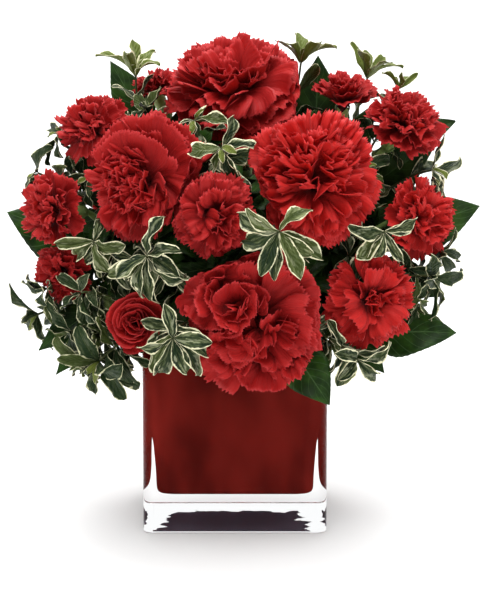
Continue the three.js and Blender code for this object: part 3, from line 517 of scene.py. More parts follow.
def blade(form, sheet, thickness, **paint):
    """A closed blade over a grid of points (rows, columns, 3), thinner at its margin."""
    rows, cols = sheet.shape[:2]
    normal = np.cross(np.gradient(sheet, axis=1), np.gradient(sheet, axis=0))
    normal /= np.maximum(np.linalg.norm(normal, axis=2, keepdims=True), 1e-9)
    half = np.full((rows, cols, 1), thickness / 2)
    half[[0, -1]] *= THIN_MARGIN
    half[:, [0, -1]] *= THIN_MARGIN
    index = np.arange(rows * cols).reshape(rows, cols)
    a, b = index[:-1, :-1], index[:-1, 1:]
    c, d = index[1:, 1:], index[1:, :-1]
    over = np.stack([a, b, c, d], axis=-1).reshape(-1, 4)
    total = rows * cols
    edge = np.concatenate([index[0, :-1], index[:-1, -1], index[-1, :0:-1], index[:0:-1, 0]])
    after = np.roll(edge, -1)
    sides = np.stack([edge, edge + total, after + total, after], axis=1)
    points = np.concatenate([(sheet + normal * half).reshape(-1, 3), (sheet - normal * half).reshape(-1, 3)])
    values = {k: np.tile(np.broadcast_to(v, (rows, cols)).ravel(), 2) for k, v in paint.items()}
    back = np.repeat([0.0, 1.0], total)
    form.add(points, [over, over[:, ::-1] + total, sides], back=back, **values)


def ring_faces(rings, around):
    """Quads between rings of points, given in order, and the fans that close both ends."""
    index = np.arange(rings * around).reshape(rings, around)
    turned = np.roll(index, -1, axis=1)
    quads = np.stack([index[:-1], turned[:-1], turned[1:], index[1:]], axis=-1).reshape(-1, 4)
    low, high = rings * around, rings * around + 1
    first = np.stack([np.full(around, low), turned[0], index[0]], axis=1)
    last = np.stack([np.full(around, high), index[-1], turned[-1]], axis=1)
    return [quads, first, last]


def skin(form, rings, first_end=0, **paint):
    """A closed skin over rings that turn anticlockwise seen from the last one's side."""
    rings = vec(rings)
    points = np.concatenate([rings.reshape(-1, 3), [rings[0].mean(axis=0), rings[-1].mean(axis=0)]])
    values = {}
    for key, value in paint.items():
        grid = np.broadcast_to(value, rings.shape[:2])
        values[key] = np.concatenate([grid.ravel(), [grid[0].mean(), grid[-1].mean()]])
    form.add(points, ring_faces(*rings.shape[:2]), [0, first_end, 0], **values)


def tube(form, path, radii, sides, **paint):
    """A round tube along a path, with a radius at each point."""
    path = vec(path)
    ways = np.gradient(path, axis=0)
    ways /= np.linalg.norm(ways, axis=1, keepdims=True)
    side = axes_along(ways[0])[0]
    angles = np.linspace(0, 2 * np.pi, sides, endpoint=False)
    rings = []
    for point, way, radius in zip(path, ways, np.broadcast_to(radii, len(path))):
        side = unit(side - way * side.dot(way))
        other = np.cross(way, side)
        rings.append(point + radius * (np.outer(np.cos(angles), side) + np.outer(np.sin(angles), other)))
    along = np.linspace(0, 1, len(path))[:, None]
    skin(form, rings, along=along, **paint)


# Materials

CLEAR = (0.97, 0.98, 0.985)


class Value:
    """A node's output that is added, subtracted and multiplied like a number."""

    def __init__(self, graph, socket):
        self.graph, self.socket = graph, socket

    def __add__(self, other):
        return self.graph.math("ADD", self, other)

    def __sub__(self, other):
        return self.graph.math("SUBTRACT", self, other)

    def __rsub__(self, other):
        return self.graph.math("SUBTRACT", other, self)

    def __mul__(self, other):
        return self.graph.math("MULTIPLY", self, other)

    __rmul__ = __mul__

    def __abs__(self):
        return self.graph.math("ABSOLUTE", self)


class Graph:
    """Short hand for the nodes of a new material or world."""

    def __init__(self, name, kind="materials", shader="Principled BSDF"):
        self.owner = getattr(bpy.data, kind).new(name)
        self.owner.use_nodes = True
        self.tree = self.owner.node_tree
        self.shader = self.tree.nodes[shader]

    def link(self, value, socket):
        if isinstance(value, Value):
            self.tree.links.new(value.socket, socket)
        else:
            socket.default_value = (*value, 1) if socket.type == "RGBA" else value

    def node(self, kind, output, inputs, **settings):
        """A new node with its settings and inputs, which gives one of its outputs."""
        node = self.tree.nodes.new(kind)
        for key, value in settings.items():
            setattr(node, key, value)
        for key, value in inputs.items():
            self.link(value, node.inputs[key])
        return Value(self, node.outputs[output])

    def paint(self, name):
        return self.node("ShaderNodeAttribute", "Fac", {}, attribute_name=name)

    def math(self, operation, *values):
        return self.node("ShaderNodeMath", 0, dict(enumerate(values)), operation=operation)

    def span(self, value, low, high, first=0, last=1, shape="SMOOTHSTEP"):
        """A value's way from low to high, as a number from first to last."""
        inputs = {"Value": value, "From Min": low, "From Max": high, "To Min": first, "To Max": last}
        return self.node("ShaderNodeMapRange", "Result", inputs, interpolation_type=shape)

    def mix(self, factor, first, second):
        inputs = {"Factor": factor, "A": first, "B": second}
        return self.node("ShaderNodeMix", "Result", inputs, data_type="RGBA")

    def vector(self, *parts):
        return self.node("ShaderNodeCombineXYZ", 0, dict(enumerate(parts)))

    def coordinates(self, kind="Object"):
        return self.node("ShaderNodeTexCoord", kind, {})

    def axis(self, name, kind="Object"):
        return self.node("ShaderNodeSeparateXYZ", name, {0: self.coordinates(kind)})

    def grain(self, scale, detail=3):
        """Noise in the piece's own space."""
        inputs = {0: self.coordinates(), "Scale": scale}
        return self.noise(self.node("ShaderNodeVectorMath", 0, inputs, operation="SCALE"), detail)

    def noise(self, vector, detail=3):
        return self.node("ShaderNodeTexNoise", "Fac", {"Vector": vector, "Scale": 1, "Detail": detail})

    def bump(self, height, distance, strength):
        inputs = {"Height": height, "Distance": distance, "Strength": strength}
        self.set(Normal=self.node("ShaderNodeBump", 0, inputs))

    def set(self, **values):
        for key, value in values.items():
            self.link(value, self.shader.inputs[key.replace("_", " ")])


def petal_material(name, red):
    """Velvety red petals, with painted shade that makes them nearly black at the foot, a painted highlight of
    paler pink on the margins and a painted sheen on the backs.
    """
    g = Graph(name)
    across, along, tint = g.paint("across"), g.paint("along"), g.paint("tint")
    fibre = g.noise(g.vector(26 * across, 3 * along, 50 * tint))
    mottle = g.grain(90, 4)
    # Painted shade: nearly black at the foot, deep in the bloom, turning red towards the margin
    colour = g.mix(g.span(along, 0.2, 0.92), (0.05, 0.001, 0.001), red)
    colour = g.mix(0.4 * g.span(fibre, 0.42, 0.7), colour, (0.20, 0.002, 0.003))
    colour = g.mix(0.35 * g.span(mottle, 0.45, 0.75), colour, (0.60, 0.016, 0.008))
    colour = g.mix(0.4 * tint, colour, (0.22, 0.002, 0.003))
    # Painted highlight: a paler pink on the margins
    colour = g.mix(0.5 * g.span(along, 0.92, 1), colour, (0.72, 0.06, 0.065))
    # Painted sheen: a paler pink on the backs of the petals
    back = g.paint("back") * g.span(along, 0.2, 0.7)
    colour = g.mix(0.4 * back, colour, (0.52, 0.018, 0.02))
    g.set(Base_Color=colour, Roughness=0.62, Specular_IOR_Level=0.25)
    g.set(Sheen_Weight=0.06, Sheen_Roughness=0.4, Sheen_Tint=(1.0, 0.35, 0.38))
    g.bump(fibre + 0.5 * mottle, 0.0009, 0.9)
    return g.owner


def stem_material():
    g = Graph("stem")
    fine = g.grain(160, 4)
    colour = g.mix(g.span(fine, 0.35, 0.7), (0.11, 0.19, 0.045), (0.19, 0.30, 0.075))
    colour = g.mix(0.4 * g.span(g.grain(40, 2), 0.4, 0.7), colour, (0.28, 0.36, 0.17))
    colour = g.mix(g.span(g.paint("pale"), 0, 1), colour, (0.42, 0.52, 0.16))
    g.set(Base_Color=colour, Roughness=0.5, Specular_IOR_Level=0.4)
    g.bump(fine, 0.0004, 0.5)
    return g.owner


def pittosporum_material(name, margin, shade):
    """Cream outside the margin, a share of the half width, and streaked greens, both darkened by a painted
    shade for leaves out of full light.
    """
    g = Graph(name)
    across, along, tint = g.paint("across"), g.paint("along"), g.paint("tint")
    own = 60 * tint
    streak = g.noise(g.vector(2.6 * across, 1.6 * along, own))
    fine = g.noise(g.vector(5 * across, 5 * along, own), 4)
    splash = g.noise(g.vector(1.6 * across, 3 * along, own))
    green = g.mix(g.span(streak, 0.42, 0.58), (0.007, 0.018, 0.006), (0.12, 0.145, 0.055))
    green = g.mix(0.65 * g.span(fine, 0.46, 0.58), green, (0.010, 0.026, 0.007))
    pale = g.span(streak, 0.5, 0.6) * g.span(fine, 0.54, 0.42)
    green = g.mix(0.8 * pale, green, (0.30, 0.33, 0.19))
    green = g.mix(0.7 * g.span(splash, 0.56, 0.64), green, (0.38, 0.40, 0.26))
    green = g.mix(0.4 * tint, green, (0.014, 0.032, 0.008))
    # Painted shade: the shade share darkens the greens of leaves out of full light
    green = g.mix(shade, green, (0.012, 0.030, 0.007))
    green = g.mix(0.75 * g.paint("young"), green, (0.20, 0.25, 0.04))
    from_rib = abs(across)
    rib = 1 - g.span(from_rib, 0, 0.07)
    green = g.mix(0.4 * rib, green, (0.13, 0.17, 0.06))
    # Painted shade: the same share darkens the cream
    cream = g.mix(0.6 * shade, (0.86, 0.83, 0.55), (0.32, 0.34, 0.16))
    edge = from_rib + 0.15 * g.span(along, 0.9, 1) + 0.6 * (g.grain(220) - 0.5)
    colour = g.mix(g.span(edge, margin, margin + 0.07), green, cream)
    colour = g.mix(g.paint("twig"), colour, (0.06, 0.07, 0.025))
    veins = g.math("SINE", 46 * along - 13 * from_rib)
    relief = 0.25 * veins + (g.grain(330, 4) - 0.6 * rib)
    g.set(Base_Color=colour, Roughness=0.5, Specular_IOR_Level=0.15)
    g.bump(relief + 1.5 * streak, 0.0008, 0.8)
    return g.owner


def salal_material(name, underside):
    """Dark green with pale veins, and lighter by a share on its underside."""
    g = Graph(name)
    from_rib = abs(g.paint("across"))
    patches = g.span(g.grain(120, 4), 0.35, 0.7)
    vein = g.span(g.math("SINE", 44 * g.paint("along") - 15 * from_rib), 0.93, 1)
    lines = g.math("MAXIMUM", 0.6 * vein, 1 - g.span(from_rib, 0.01, 0.05))
    colour = g.mix(patches, (0.009, 0.028, 0.004), (0.026, 0.072, 0.008))
    pale = g.mix(patches, (0.034, 0.075, 0.016), (0.075, 0.125, 0.032))
    colour = g.mix(underside * g.paint("back"), colour, pale)
    colour = g.mix(0.5 * lines, colour, (0.09, 0.18, 0.06))
    colour = g.mix(g.paint("twig"), colour, (0.07, 0.09, 0.03))
    g.set(Base_Color=colour, Roughness=0.42, Specular_IOR_Level=0.18)
    g.bump(0.4 * g.grain(700) - lines, 0.0005, 0.6)
    return g.owner


def glass_material():
    g = Graph("clear_glass")
    g.set(Base_Color=CLEAR, Roughness=0, IOR=1.5, Transmission_Weight=1, Specular_Tint=(0, 0, 0))
    g.bump(g.grain(25, 1), 0.0006, 0.15)
    return g.owner


def foot_material():
    """The underside: a dark, matte patch of painted shade towards the front and clear glass round that, in
    metres.
    """
    half, middle, shorter = 0.05, -0.0155, 0.0095
    g = Graph("vase_underside")
    x, y = g.axis("X"), g.axis("Y")
    ragged = 0.03 * (g.grain(70, 5) - 0.5)
    aside = abs(x) + 0.14 * (y + half) + ragged
    behind = abs(y - middle) + shorter + ragged * g.span(y, -half, -0.02)
    # Painted shade: the patch is dark and matte, the rest of the underside clear glass
    dark = 1 - g.span(g.math("MAXIMUM", aside, behind), half, half + 0.0012)
    g.set(Base_Color=g.mix(dark, CLEAR, (0.24, 0.21, 0.28)), IOR=1.5)
    g.set(Roughness=0.5 * dark, Transmission_Weight=1 - dark, Specular_IOR_Level=0.5 * (1 - dark))
    return g.owner


def ruby_material():
    g = Graph("ruby_glass")
    inputs = {"Vector": g.coordinates(), "Rotation": (0, 0.6, 0), "Scale": (34, 20, 16)}
    cloud = g.noise(g.node("ShaderNodeMapping", 0, inputs), 2)
    colour = g.mix(g.span(cloud, 0.3, 0.75), (0.15, 0.013, 0.010), (0.37, 0.030, 0.022))
    g.set(Base_Color=colour, Roughness=0.35, IOR=1.5, Specular_IOR_Level=0)
    return g.owner


def water_material():
    g = Graph("water")
    g.set(Base_Color=(0.9, 0.95, 0.95), Roughness=0, IOR=1.33, Transmission_Weight=1)
    g.bump(g.grain(60, 1), 0.0004, 0.1)
    return g.owner


# Blooms

def pressed_clear(bloom, points):
    """Points kept on their own bloom's side of the wavy faces where neighbouring blooms meet."""
    p = points.copy()
    for other in blooms:
        away = other.heart - bloom.heart
        apart = np.linalg.norm(away)
        if other is bloom or apart > bloom.radius + other.radius + REACHES:
            continue
        away /= apart
        share = apart / 2 + (bloom.radius ** 2 - other.radius ** 2) / (4 * apart)
        across, over = (WAVES_PER_MM * p @ vec(v) for v in ((1, 0, WAVE_SLANT), (0, 1, -WAVE_SLANT)))
        waves = 1 + np.sin(across) * np.sin(over)
        beyond = (p - bloom.heart) @ away - share + GAP + CONTACT_WAVE * waves
        target = -PRESS * np.exp(-np.maximum(beyond + PRESS, 0) / PRESS)
        p += np.where(beyond > -PRESS, target - beyond, 0)[..., None] * away
    return p


def petal_turn(bloom, whorl, level, i, seed, own):
    """Where a petal stands round its bloom, and how far it opens."""
    opening = whorl.opening + jitter(seed + 1, 12)
    if whorl.start is None:
        turn = 2 * math.pi * (i + 0.5 * level) / whorl.count + bloom.turn + jitter(seed, 0.25)
        if level >= LOOSE_FROM:
            turn += LOOSE_TURN * level
            opening = opening + LOOSE_OPENING * (own[8] - 0.5)
    else:
        turn = math.radians(whorl.start + whorl.span * (i + 0.5) / whorl.count) + jitter(seed, 0.25)
    return turn, math.radians(opening)


def petal_base(bloom, whorl, level, own):
    """Where a petal is fixed, in the middle of its bloom or aside from it."""
    first, second = whorl.aside
    if level >= LOOSE_FROM and bloom.form != "bud":
        first, second = first + STRAY * (own[1] - 0.5) * 2, second + STRAY * (own[4] - 0.5) * 2
    return bloom.origin + bloom.radius * (first * bloom.axes[0] + second * bloom.axes[1])


def petal_teeth(across, depth, own):
    """How far the teeth and one deeper notch cut into the margin."""
    column = np.arange(across.size)
    rolled = np.abs(np.sin(91.7 * column * (1 + own[0])))
    notch = depth * (column % 2) * (0.4 + rolled) + 0.03 * np.sin(4.2 * across + 6 * own[2])
    return notch + 2 * depth * np.exp(-((across - 1.4 * own[1] + 0.7) / 0.06) ** 2)


def petal_waves(across, along, phase, own):
    """Waves and creases that grow towards the margin, with a fine crimp close to it."""
    grown = smooth((along - RUFFLED[0]) / RUFFLED[1])
    wave = np.sin(2 * np.pi * across + phase) + 0.5 * np.sin(4.6 * np.pi * across + 2 * phase)
    crimp = 0.35 * np.sin(19 * across + 9 * own[4]) * smooth((along - 0.8) / 0.2)
    crease = np.sin(4.5 * along + 2.2 * across + 6 * own[5])
    crumple = 0.7 * crease * np.sin(3 * across - 2.5 * along + 6 * own[6])
    return grown * (wave + crimp) + smooth((along - 0.3) / 0.6) * crumple


def petal_sheet(bloom, whorl, level, i, rows, teeth):
    """A petal's points, and the values that paint it."""
    seed = 4 * (i + 10 * (level + 10 * bloom.index))
    own = [chance(PETAL_DRAWS + 9 * seed + k) for k in range(9)]
    turn, opening = petal_turn(bloom, whorl, level, i, seed, own)
    curl = math.radians(whorl.curl * (0.6 + 0.8 * own[3]))

    def bend_at(t):
        return opening * smooth(t / BEND_END) + curl * smooth((t - CURLED[0]) / CURLED[1])

    # Along the petal, as it bends outwards
    across = np.linspace(-1, 1, 2 * teeth + 1)[None, :]
    along = (0.04 + 0.96 * np.linspace(0, 1, rows) ** 0.85)[:, None]
    last = (np.arange(rows) == rows - 1)[:, None]
    reached = along * (1 - ROUNDED * across ** 2) - petal_teeth(across, TOOTH[bloom.form], own) * last
    step = (np.arange(BEND_STEPS) + 0.5) / BEND_STEPS
    angle = bend_at(reached[..., None] * step)
    radius = bloom.radius
    reach = radius * whorl.length * (1 + jitter(seed + 2, 0.1))
    outwards = HUB * radius + reach * reached * np.sin(angle).mean(axis=-1)
    upwards = TIER * whorl.tier * radius + reach * reached * np.cos(angle).mean(axis=-1)
    lean = bend_at(reached)

    # Across it, folded and waved
    half = whorl.half * radius * (CLAW_WIDTH + (1 - CLAW_WIDTH) * smooth((along - WIDENS[0]) / WIDENS[1]))
    cup = whorl.fold * across
    sideways = half * np.sin(cup) / whorl.fold
    lift = half * (1 - np.cos(cup)) / whorl.fold + LAP * half * across
    phase = 2 * math.pi * chance(seed + 3)
    lift = lift + whorl.ruffle * radius * petal_waves(across, along, phase, own)

    # On the bloom
    out = outwards_at(bloom.axes, turn)
    third = bloom.axes[2]
    sheet = petal_base(bloom, whorl, level, own) + (outwards - lift * np.cos(lean))[..., None] * out
    sheet = sheet + (upwards + lift * np.sin(lean))[..., None] * third
    sheet = sheet + sideways[..., None] * np.cross(third, out)
    # Painted light: blooms in fuller light get less of the random darker tint
    paint = {"across": across, "along": along, "tint": own[7] * (0.2 if bloom.name in PAINTED_LIGHT_BLOOMS else 1)}
    return pressed_clear(bloom, sheet), paint


def ring_round(bloom, angles, radius, height):
    """Points round a bloom's axis, at one radius and height or at those of each angle."""
    first, second, third = bloom.axes
    ring = np.outer(radius * np.cos(angles), first) + np.outer(radius * np.sin(angles), second)
    return bloom.origin + np.outer(height * np.ones(len(angles)), third) + ring


def heart_dome(form, bloom):
    """The heart that the petals stand on, nearly black with the petals' foot colour: painted shade."""
    angles = np.linspace(0, 2 * np.pi, 16, endpoint=False)
    wide = bloom.calyx["radius"]
    profile = [(-0.5, 0.86), (0.2, 0.9), (0.6, 0.7), (0.85, 0.4)]
    rings = [ring_round(bloom, angles, share * wide, height * wide) for height, share in profile]
    # along=0.1 gives the heart the nearly black painted shade of the petals' foot
    skin(form, rings, along=0.1)


def bloom_form(bloom):
    form = Form()
    heart_dome(form, bloom)
    rows, teeth = BIG_GRID if bloom.form == "big" else SMALL_GRID
    for level, whorl in enumerate(FORMS.get(bloom.name, FORMS[bloom.form])):
        for i in range(whorl.count):
            sheet, paint = petal_sheet(bloom, whorl, level, i, rows, teeth)
            blade(form, sheet, PETAL_THICK, **paint)
    return form


# Stems and calyxes

class StemPath:
    """A straight step up from the foot, if there is one, then a bend that ends along way."""

    def __init__(self, start, end, rise, way, foot=None):
        start, end = vec(start), vec(end)
        span = np.linalg.norm(end - start)
        over_rim = ARCH_RISE * max(0, HANGING - end[2]) if foot is not None else 0
        self.foot = foot
        self.knots = (start, start + rise * (RISE * span + over_rim), end - ARRIVE * span * unit(way), end)

    def at(self, t):
        a, b, c, d = self.knots
        s = 1 - t
        return s ** 3 * a + 3 * s * s * t * b + 3 * s * t * t * c + t ** 3 * d

    def way(self, t):
        a, b, c, d = self.knots
        s = 1 - t
        return unit(s * s * (b - a) + 2 * s * t * (c - b) + t * t * (d - c))

    def points(self, steps):
        bend = [self.at(t) for t in np.linspace(0, 1, steps + 1)]
        if self.foot is None:
            return bend
        return [self.foot + (bend[0] - self.foot) * t for t in (0, 0.25, 0.5, 0.75)] + bend


def from_vase(foot, end, way):
    return StemPath((*foot, STRAIGHT_TO), end, vec((0, 0, 1)), way, foot=vec((*foot, STEM_FOOT)))


def calyx_cup(form, bloom):
    """A cup with five teeth and a ribbed side."""
    radius, length = bloom.calyx["radius"], bloom.calyx["length"]
    angles = np.linspace(0, 2 * np.pi, 30, endpoint=False)
    teeth = np.abs((angles * 5 / (2 * np.pi)) % 1 - 0.5) * 2
    ribbed = 1 + 0.02 * np.cos(10 * angles)
    profile = [(-1, 0.3), (-0.97, 0.62), (-0.9, 0.82), (-0.7, 0.86), (-0.4, 0.92), (-0.15, 0.97), (-0.04, 1)]
    rings = [ring_round(bloom, angles, share * radius * ribbed, length * height) for height, share in profile]
    for share, lower in ((1.04, 0.02), (0.98, 0.03)):
        height = 0.2 * length * teeth - lower * length
        rings.append(ring_round(bloom, angles, radius * (share + 0.12 * teeth), height))
    rings.append(ring_round(bloom, angles, 0.9 * radius, -0.1 * length))
    skin(form, rings, pale=np.array([0.1, 0.1, 0.2, 0.3, 0.5, 0.7, 0.8, 1, 1, 1])[:, None])


def calyx_scales(form, bloom):
    """Four scales round the foot of a calyx, every second one on top of its neighbours."""
    radius, length = bloom.calyx["radius"], bloom.calyx["length"]
    first, second, third = bloom.axes
    scale, width = np.meshgrid(np.linspace(0, 1, 7), np.linspace(-1, 1, 7), indexing="ij")
    for k in range(4):
        span = 0.85 * (1 - scale ** 3) * width + k * math.pi / 2 + 0.4
        out = np.cos(span)[..., None] * first + np.sin(span)[..., None] * second
        lift = 0.55 * radius + 0.42 * radius * smooth(scale * 1.6) + (0.4 if k % 2 else 0.15)
        height = -length * (1.0 - 0.36 * scale)
        sheet = bloom.origin + lift[..., None] * out + height[..., None] * third
        blade(form, sheet, SCALE_THICK, pale=0.15)


def stem_rod(form, path, radius):
    """A round stem with a swollen, paler knot at even distances."""
    points = path.points(STEM_STEPS)
    lengths = np.cumsum([0] + [np.linalg.norm(b - a) for a, b in zip(points, points[1:])])
    knots = np.exp(-(((lengths + KNOTS_FROM) % KNOTS_APART - KNOTS_APART / 2) / KNOT_LENGTH) ** 2)
    tube(form, points, radius * (1 + KNOT_SWELLS * knots), STEM_SIDES, pale=0.25 * knots[:, None])


def stem_form(foot, heads, fork=None):
    """A stem up to its bloom's calyx, or to a fork with a branch to each of its blooms."""
    form = Form()
    heads = [bloom_named[name] for name in heads]
    for head in heads:
        calyx_cup(form, head)
        calyx_scales(form, head)
    ends = [head.origin + (3 - head.calyx["length"]) * head.axes[2] for head in heads]
    if fork is None:
        stem_rod(form, from_vase(foot, ends[0], heads[0].axes[2]), heads[0].calyx["stem"])
        return form
    knot = vec(fork)
    rise = unit(knot - vec((*foot, STRAIGHT_TO)))
    stem_rod(form, from_vase(foot, knot, rise), FORKED_STEM)
    for head, end in zip(heads, ends):
        stem_rod(form, StemPath(knot - FORK_SINK * rise, end, rise, head.axes[2]), head.calyx["stem"])
    return form


# Leaves

def bent_clear(points):
    """Points moved out of the room of every bloom and its calyx."""
    p = points.copy()
    for _ in range(3):
        for bloom in blooms:
            up_share, wide, deep = (share * bloom.radius for share in BLOOM_ROOM[bloom.form])
            third = bloom.axes[2]
            middle = bloom.origin + up_share * third
            from_middle = p - middle
            up = from_middle @ third
            outwards = np.sqrt(np.maximum(0, (from_middle ** 2).sum(axis=-1) - up * up))
            depth = np.maximum(np.hypot(outwards / wide, up / deep), 1e-6)
            p = middle + from_middle / np.minimum(depth, 1)[..., None]
            height = np.clip((p - bloom.origin) @ third, -bloom.calyx["length"], 0)
            nearest = bloom.origin + height[..., None] * third
            away = p - nearest
            apart = np.maximum(np.linalg.norm(away, axis=-1, keepdims=True), 1e-6)
            clear = bloom.calyx["radius"] + CALYX_ROOM
            p = np.where(apart < clear, nearest + away / apart * clear, p)
    return p


def obovate(t):
    """The share of the half width at t for a leaf that is widest beyond its middle."""
    return 0.06 + 0.94 * np.abs(np.sin(np.pi * t ** 1.22)) ** 0.74


def ovate(t):
    """The same for a leaf that is widest nearer its base."""
    return np.abs(np.sin(np.pi * t ** 0.72)) ** 0.9 * (1 - 0.25 * t)


def leaf_sheet(base, way, up, length, half_width, arch, fold, outline, grid, wave, phase, teeth=0):
    """A leaf's points from base to tip, with a waved or toothed margin."""
    rows, cols = grid
    across = np.linspace(-1, 1, cols)[None, :]
    even = np.linspace(0, 1, rows)[:, None]
    along = 0.3 * even + 0.7 * (0.5 - 0.5 * np.cos(np.pi * even))
    half = half_width * np.maximum(outline(along), 0.02)
    if teeth:
        half = half * (1 + teeth * (np.arange(rows) % 2)[:, None] * (np.abs(across) > 0.99))
    turned = arch * along
    reach = length * np.sin(turned) / arch
    drop = length * (1 - np.cos(turned)) / arch
    normal = np.cos(turned)[..., None] * up + np.sin(turned)[..., None] * way
    waves = np.sin(11 * along + phase + 1.4 * np.sign(across))
    ripple = wave * half_width * across ** 2 * waves * smooth(along / 0.3)
    rise = half * np.abs(across) * math.sin(fold) + ripple
    sheet = base + reach[..., None] * way - drop[..., None] * up
    sheet = sheet + (half * across * math.cos(fold))[..., None] * np.cross(way, up) + rise[..., None] * normal
    weight = smooth(along / BENT_BY)[..., None]
    return sheet + weight * (bent_clear(sheet) - sheet), {"across": across, "along": along}


# Whorls of a spray: where on the bend, leaf size, count (None: the spray's own), opening, twist
WHORLS = [
    (1.0, 1.0, None, LEAF_OPEN, 1.3),
    (0.75, 1.05, 2, LEAF_OPEN, 1.3),
    (1.0, 0.5, 2, (14, 26), 0.6),
    (0.62, 1.0, 3, (60, 84), 1.4),
    (0.48, 0.95, 3, (56, 80), 1.4),
    (0.36, 0.9, 2, (50, 76), 1.4),
]
INNER_WHORLS = [
    (1.0, 1.0, 4, (50, 80), 1.2),
    (0.82, 1.1, 4, (60, 84), 1.4),
    (0.64, 1.1, 4, (60, 84), 1.4),
    (0.46, 1.0, 3, (50, 80), 1.4),
]


def leaf_ways(own, twig_way, out, opening, twist):
    """The way a leaf points from its twig, hanging a little, and the way its face looks."""
    upright = smooth((twig_way[2] - 0.7) / 0.25)
    weight = (1 - upright) * (1 - 0.7 * smooth(-twig_way[2] / 0.5))
    angle = math.radians(opening + jitter(own + 1, 14)) * (1 - 0.55 * upright)
    way = math.cos(angle) * twig_way + math.sin(angle) * out
    way = unit(way - vec((0, 0, 0.05 + (0.25 + 0.55 * chance(own + 31)) * weight)))
    up = unit(twig_way - twig_way.dot(way) * way)
    turned = twist * jitter(own + 17, 1.5)
    return way, math.cos(turned) * up + math.sin(turned) * np.cross(way, up)


def spray(form, seed, path, whorls, leaf, count, roll, grid, width, young_tip):
    """A twig along a path with whorls of leaves, each with its own turn, size and fold."""
    points = path.points(TWIG_STEPS)
    tube(form, points, np.linspace(TWIG, 0.6 * TWIG, len(points)), 6, twig=1)
    fresh = 0.8 * smooth((points[-1][2] - FRESH_FROM) / FRESH_OVER)
    slim = width * (1 - 0.25 * fresh)
    for level, (at, size, several, opening, twist) in enumerate(whorls):
        if level == YOUNG_WHORL and not young_tip:
            continue
        place = near_tip(at)
        middle = path.at(place)
        axes = axes_along(path.way(place))
        several = several or count
        for i in range(several):
            own = seed + 60 * level + 4 * i
            turn = 2 * math.pi * i / several + roll + 1.9 * (level > 1) * level
            turn += jitter(own, 0.25) + jitter(own + 41, 0.9)
            out = outwards_at(axes, turn)
            way, up = leaf_ways(own, axes[2], out, opening[i % 2], twist)
            length = leaf * size * (1 + jitter(own + 2, 0.35))
            sheet, paint = leaf_sheet(
                middle + out * 0.6 * TWIG, way, up, length, slim * length * (0.85 + 0.3 * chance(own + 5)),
                LEAF_ARCH + jitter(own + 3, 1.2), 0.15 + 0.6 * chance(own + 9), obovate, grid,
                wave=0.3, phase=6 * chance(own + 1),
            )
            young = max(fresh * (level == 0), 0.25 * (chance(own + 7) > 0.8), level == YOUNG_WHORL)
            blade(form, sheet, LEAF_THICK, **paint, tint=chance(own + 2), young=young)


def pittosporum_form(name, seed, rows, foot, tip, way, leaf, count, roll):
    form = Form()
    young = tip[2] > YOUNG_TIPS_FROM or name in YOUNG_LOW
    grid = (rows, PITTOSPORUM_COLS)
    spray(form, seed, from_vase(foot, tip, way), WHORLS, leaf, count, roll, grid, PITTOSPORUM_WIDTH, young)
    return form


def inner_spray_form(variegated):
    """The short sprays inside the bouquet, in painted shade: dark green in front, every second one variegated
    behind.
    """
    form = Form()
    for k in range(INNER_SPRAYS):
        rise = LOWEST + (HIGHEST - LOWEST) * (k + 0.5) / INNER_SPRAYS
        level = math.sqrt(1 - rise * rise)
        turn = GOLDEN_TURN * k
        way = vec((level * math.cos(turn), level * math.sin(turn), rise))
        if variegated != (k % 2 == 0 and way[1] > -0.1):
            continue
        tip = vec(INNER_MIDDLE) + vec(INNER_REACH) * way
        foot = INNER_FOOT * way[:2] / np.linalg.norm(way[:2]) * (0.5 + 0.5 * chance(k))
        path = from_vase(foot, tip, unit(way + (0, 0, 0.25)))
        seed = INNER_DRAWS + 500 * k
        spray(form, seed, path, INNER_WHORLS, INNER_LEAF, 4, k, INNER_GRID, INNER_WIDTH, True)
    return form


def salal_leaf(form, base, tip, facing, half_width):
    """An arched leaf. Gives the way that it starts at its base."""
    chord = vec(tip) - vec(base)
    along = unit(chord)
    facing = unit(unit(facing) - unit(facing).dot(along) * along)
    turn = SALAL_ARCH / 2
    way = math.cos(turn) * along + math.sin(turn) * facing
    up = math.cos(turn) * facing - math.sin(turn) * along
    length = np.linalg.norm(chord) * turn / math.sin(turn)
    sheet, paint = leaf_sheet(
        vec(base), way, up, length, half_width, SALAL_ARCH, SALAL_FOLD, ovate, SALAL_GRID,
        wave=0.07, phase=half_width, teeth=0.025,
    )
    blade(form, sheet, SALAL_THICK, **paint)
    return way


def salal_form(foot, leaves):
    form = Form()
    for base, tip, facing, half_width in leaves:
        way = salal_leaf(form, base, tip, facing, half_width)
        path = from_vase(foot, vec(base) + 1.5 * way, way)
        points = path.points(TWIG_STEPS)
        tube(form, points, np.linspace(TWIG, 0.7 * TWIG, len(points)), 10, twig=1)
    return form


# Vase

def rounded_square(half, radius, height):
    quarter = np.linspace(0, np.pi / 2, CORNER_STEPS + 1)
    angles = np.concatenate([quarter + k * np.pi / 2 for k in range(4)])
    middles = np.repeat((np.arange(4) + 0.5) * np.pi / 2, CORNER_STEPS + 1)
    x = (half - radius) * np.sign(np.cos(middles)) + radius * np.cos(angles)
    y = (half - radius) * np.sign(np.sin(middles)) + radius * np.sin(angles)
    return np.stack([x, y, np.broadcast_to(height, len(x))], axis=1)


def hollow_rings(inset, floor, top, radius):
    """The vase's hollow from floor to top, drawn in by an inset on every side."""
    widest = SIDE / 2 - WALL_TOP - inset
    narrowest = SIDE / 2 - WALL_FOOT - inset
    edge = [(6, 0), (4, 0.1), (2.4, 0.5), (1.2, 1.3), (0.5, 2.4), (0.1, 4)]
    rings = [rounded_square(narrowest - x, radius, floor + z) for x, z in edge]
    for z in np.linspace(floor + 6, top, 16):
        thinned = smooth((z - BASE) / THINS_OVER)
        rings.append(rounded_square(narrowest + (widest - narrowest) * thinned, radius, z))
    return rings


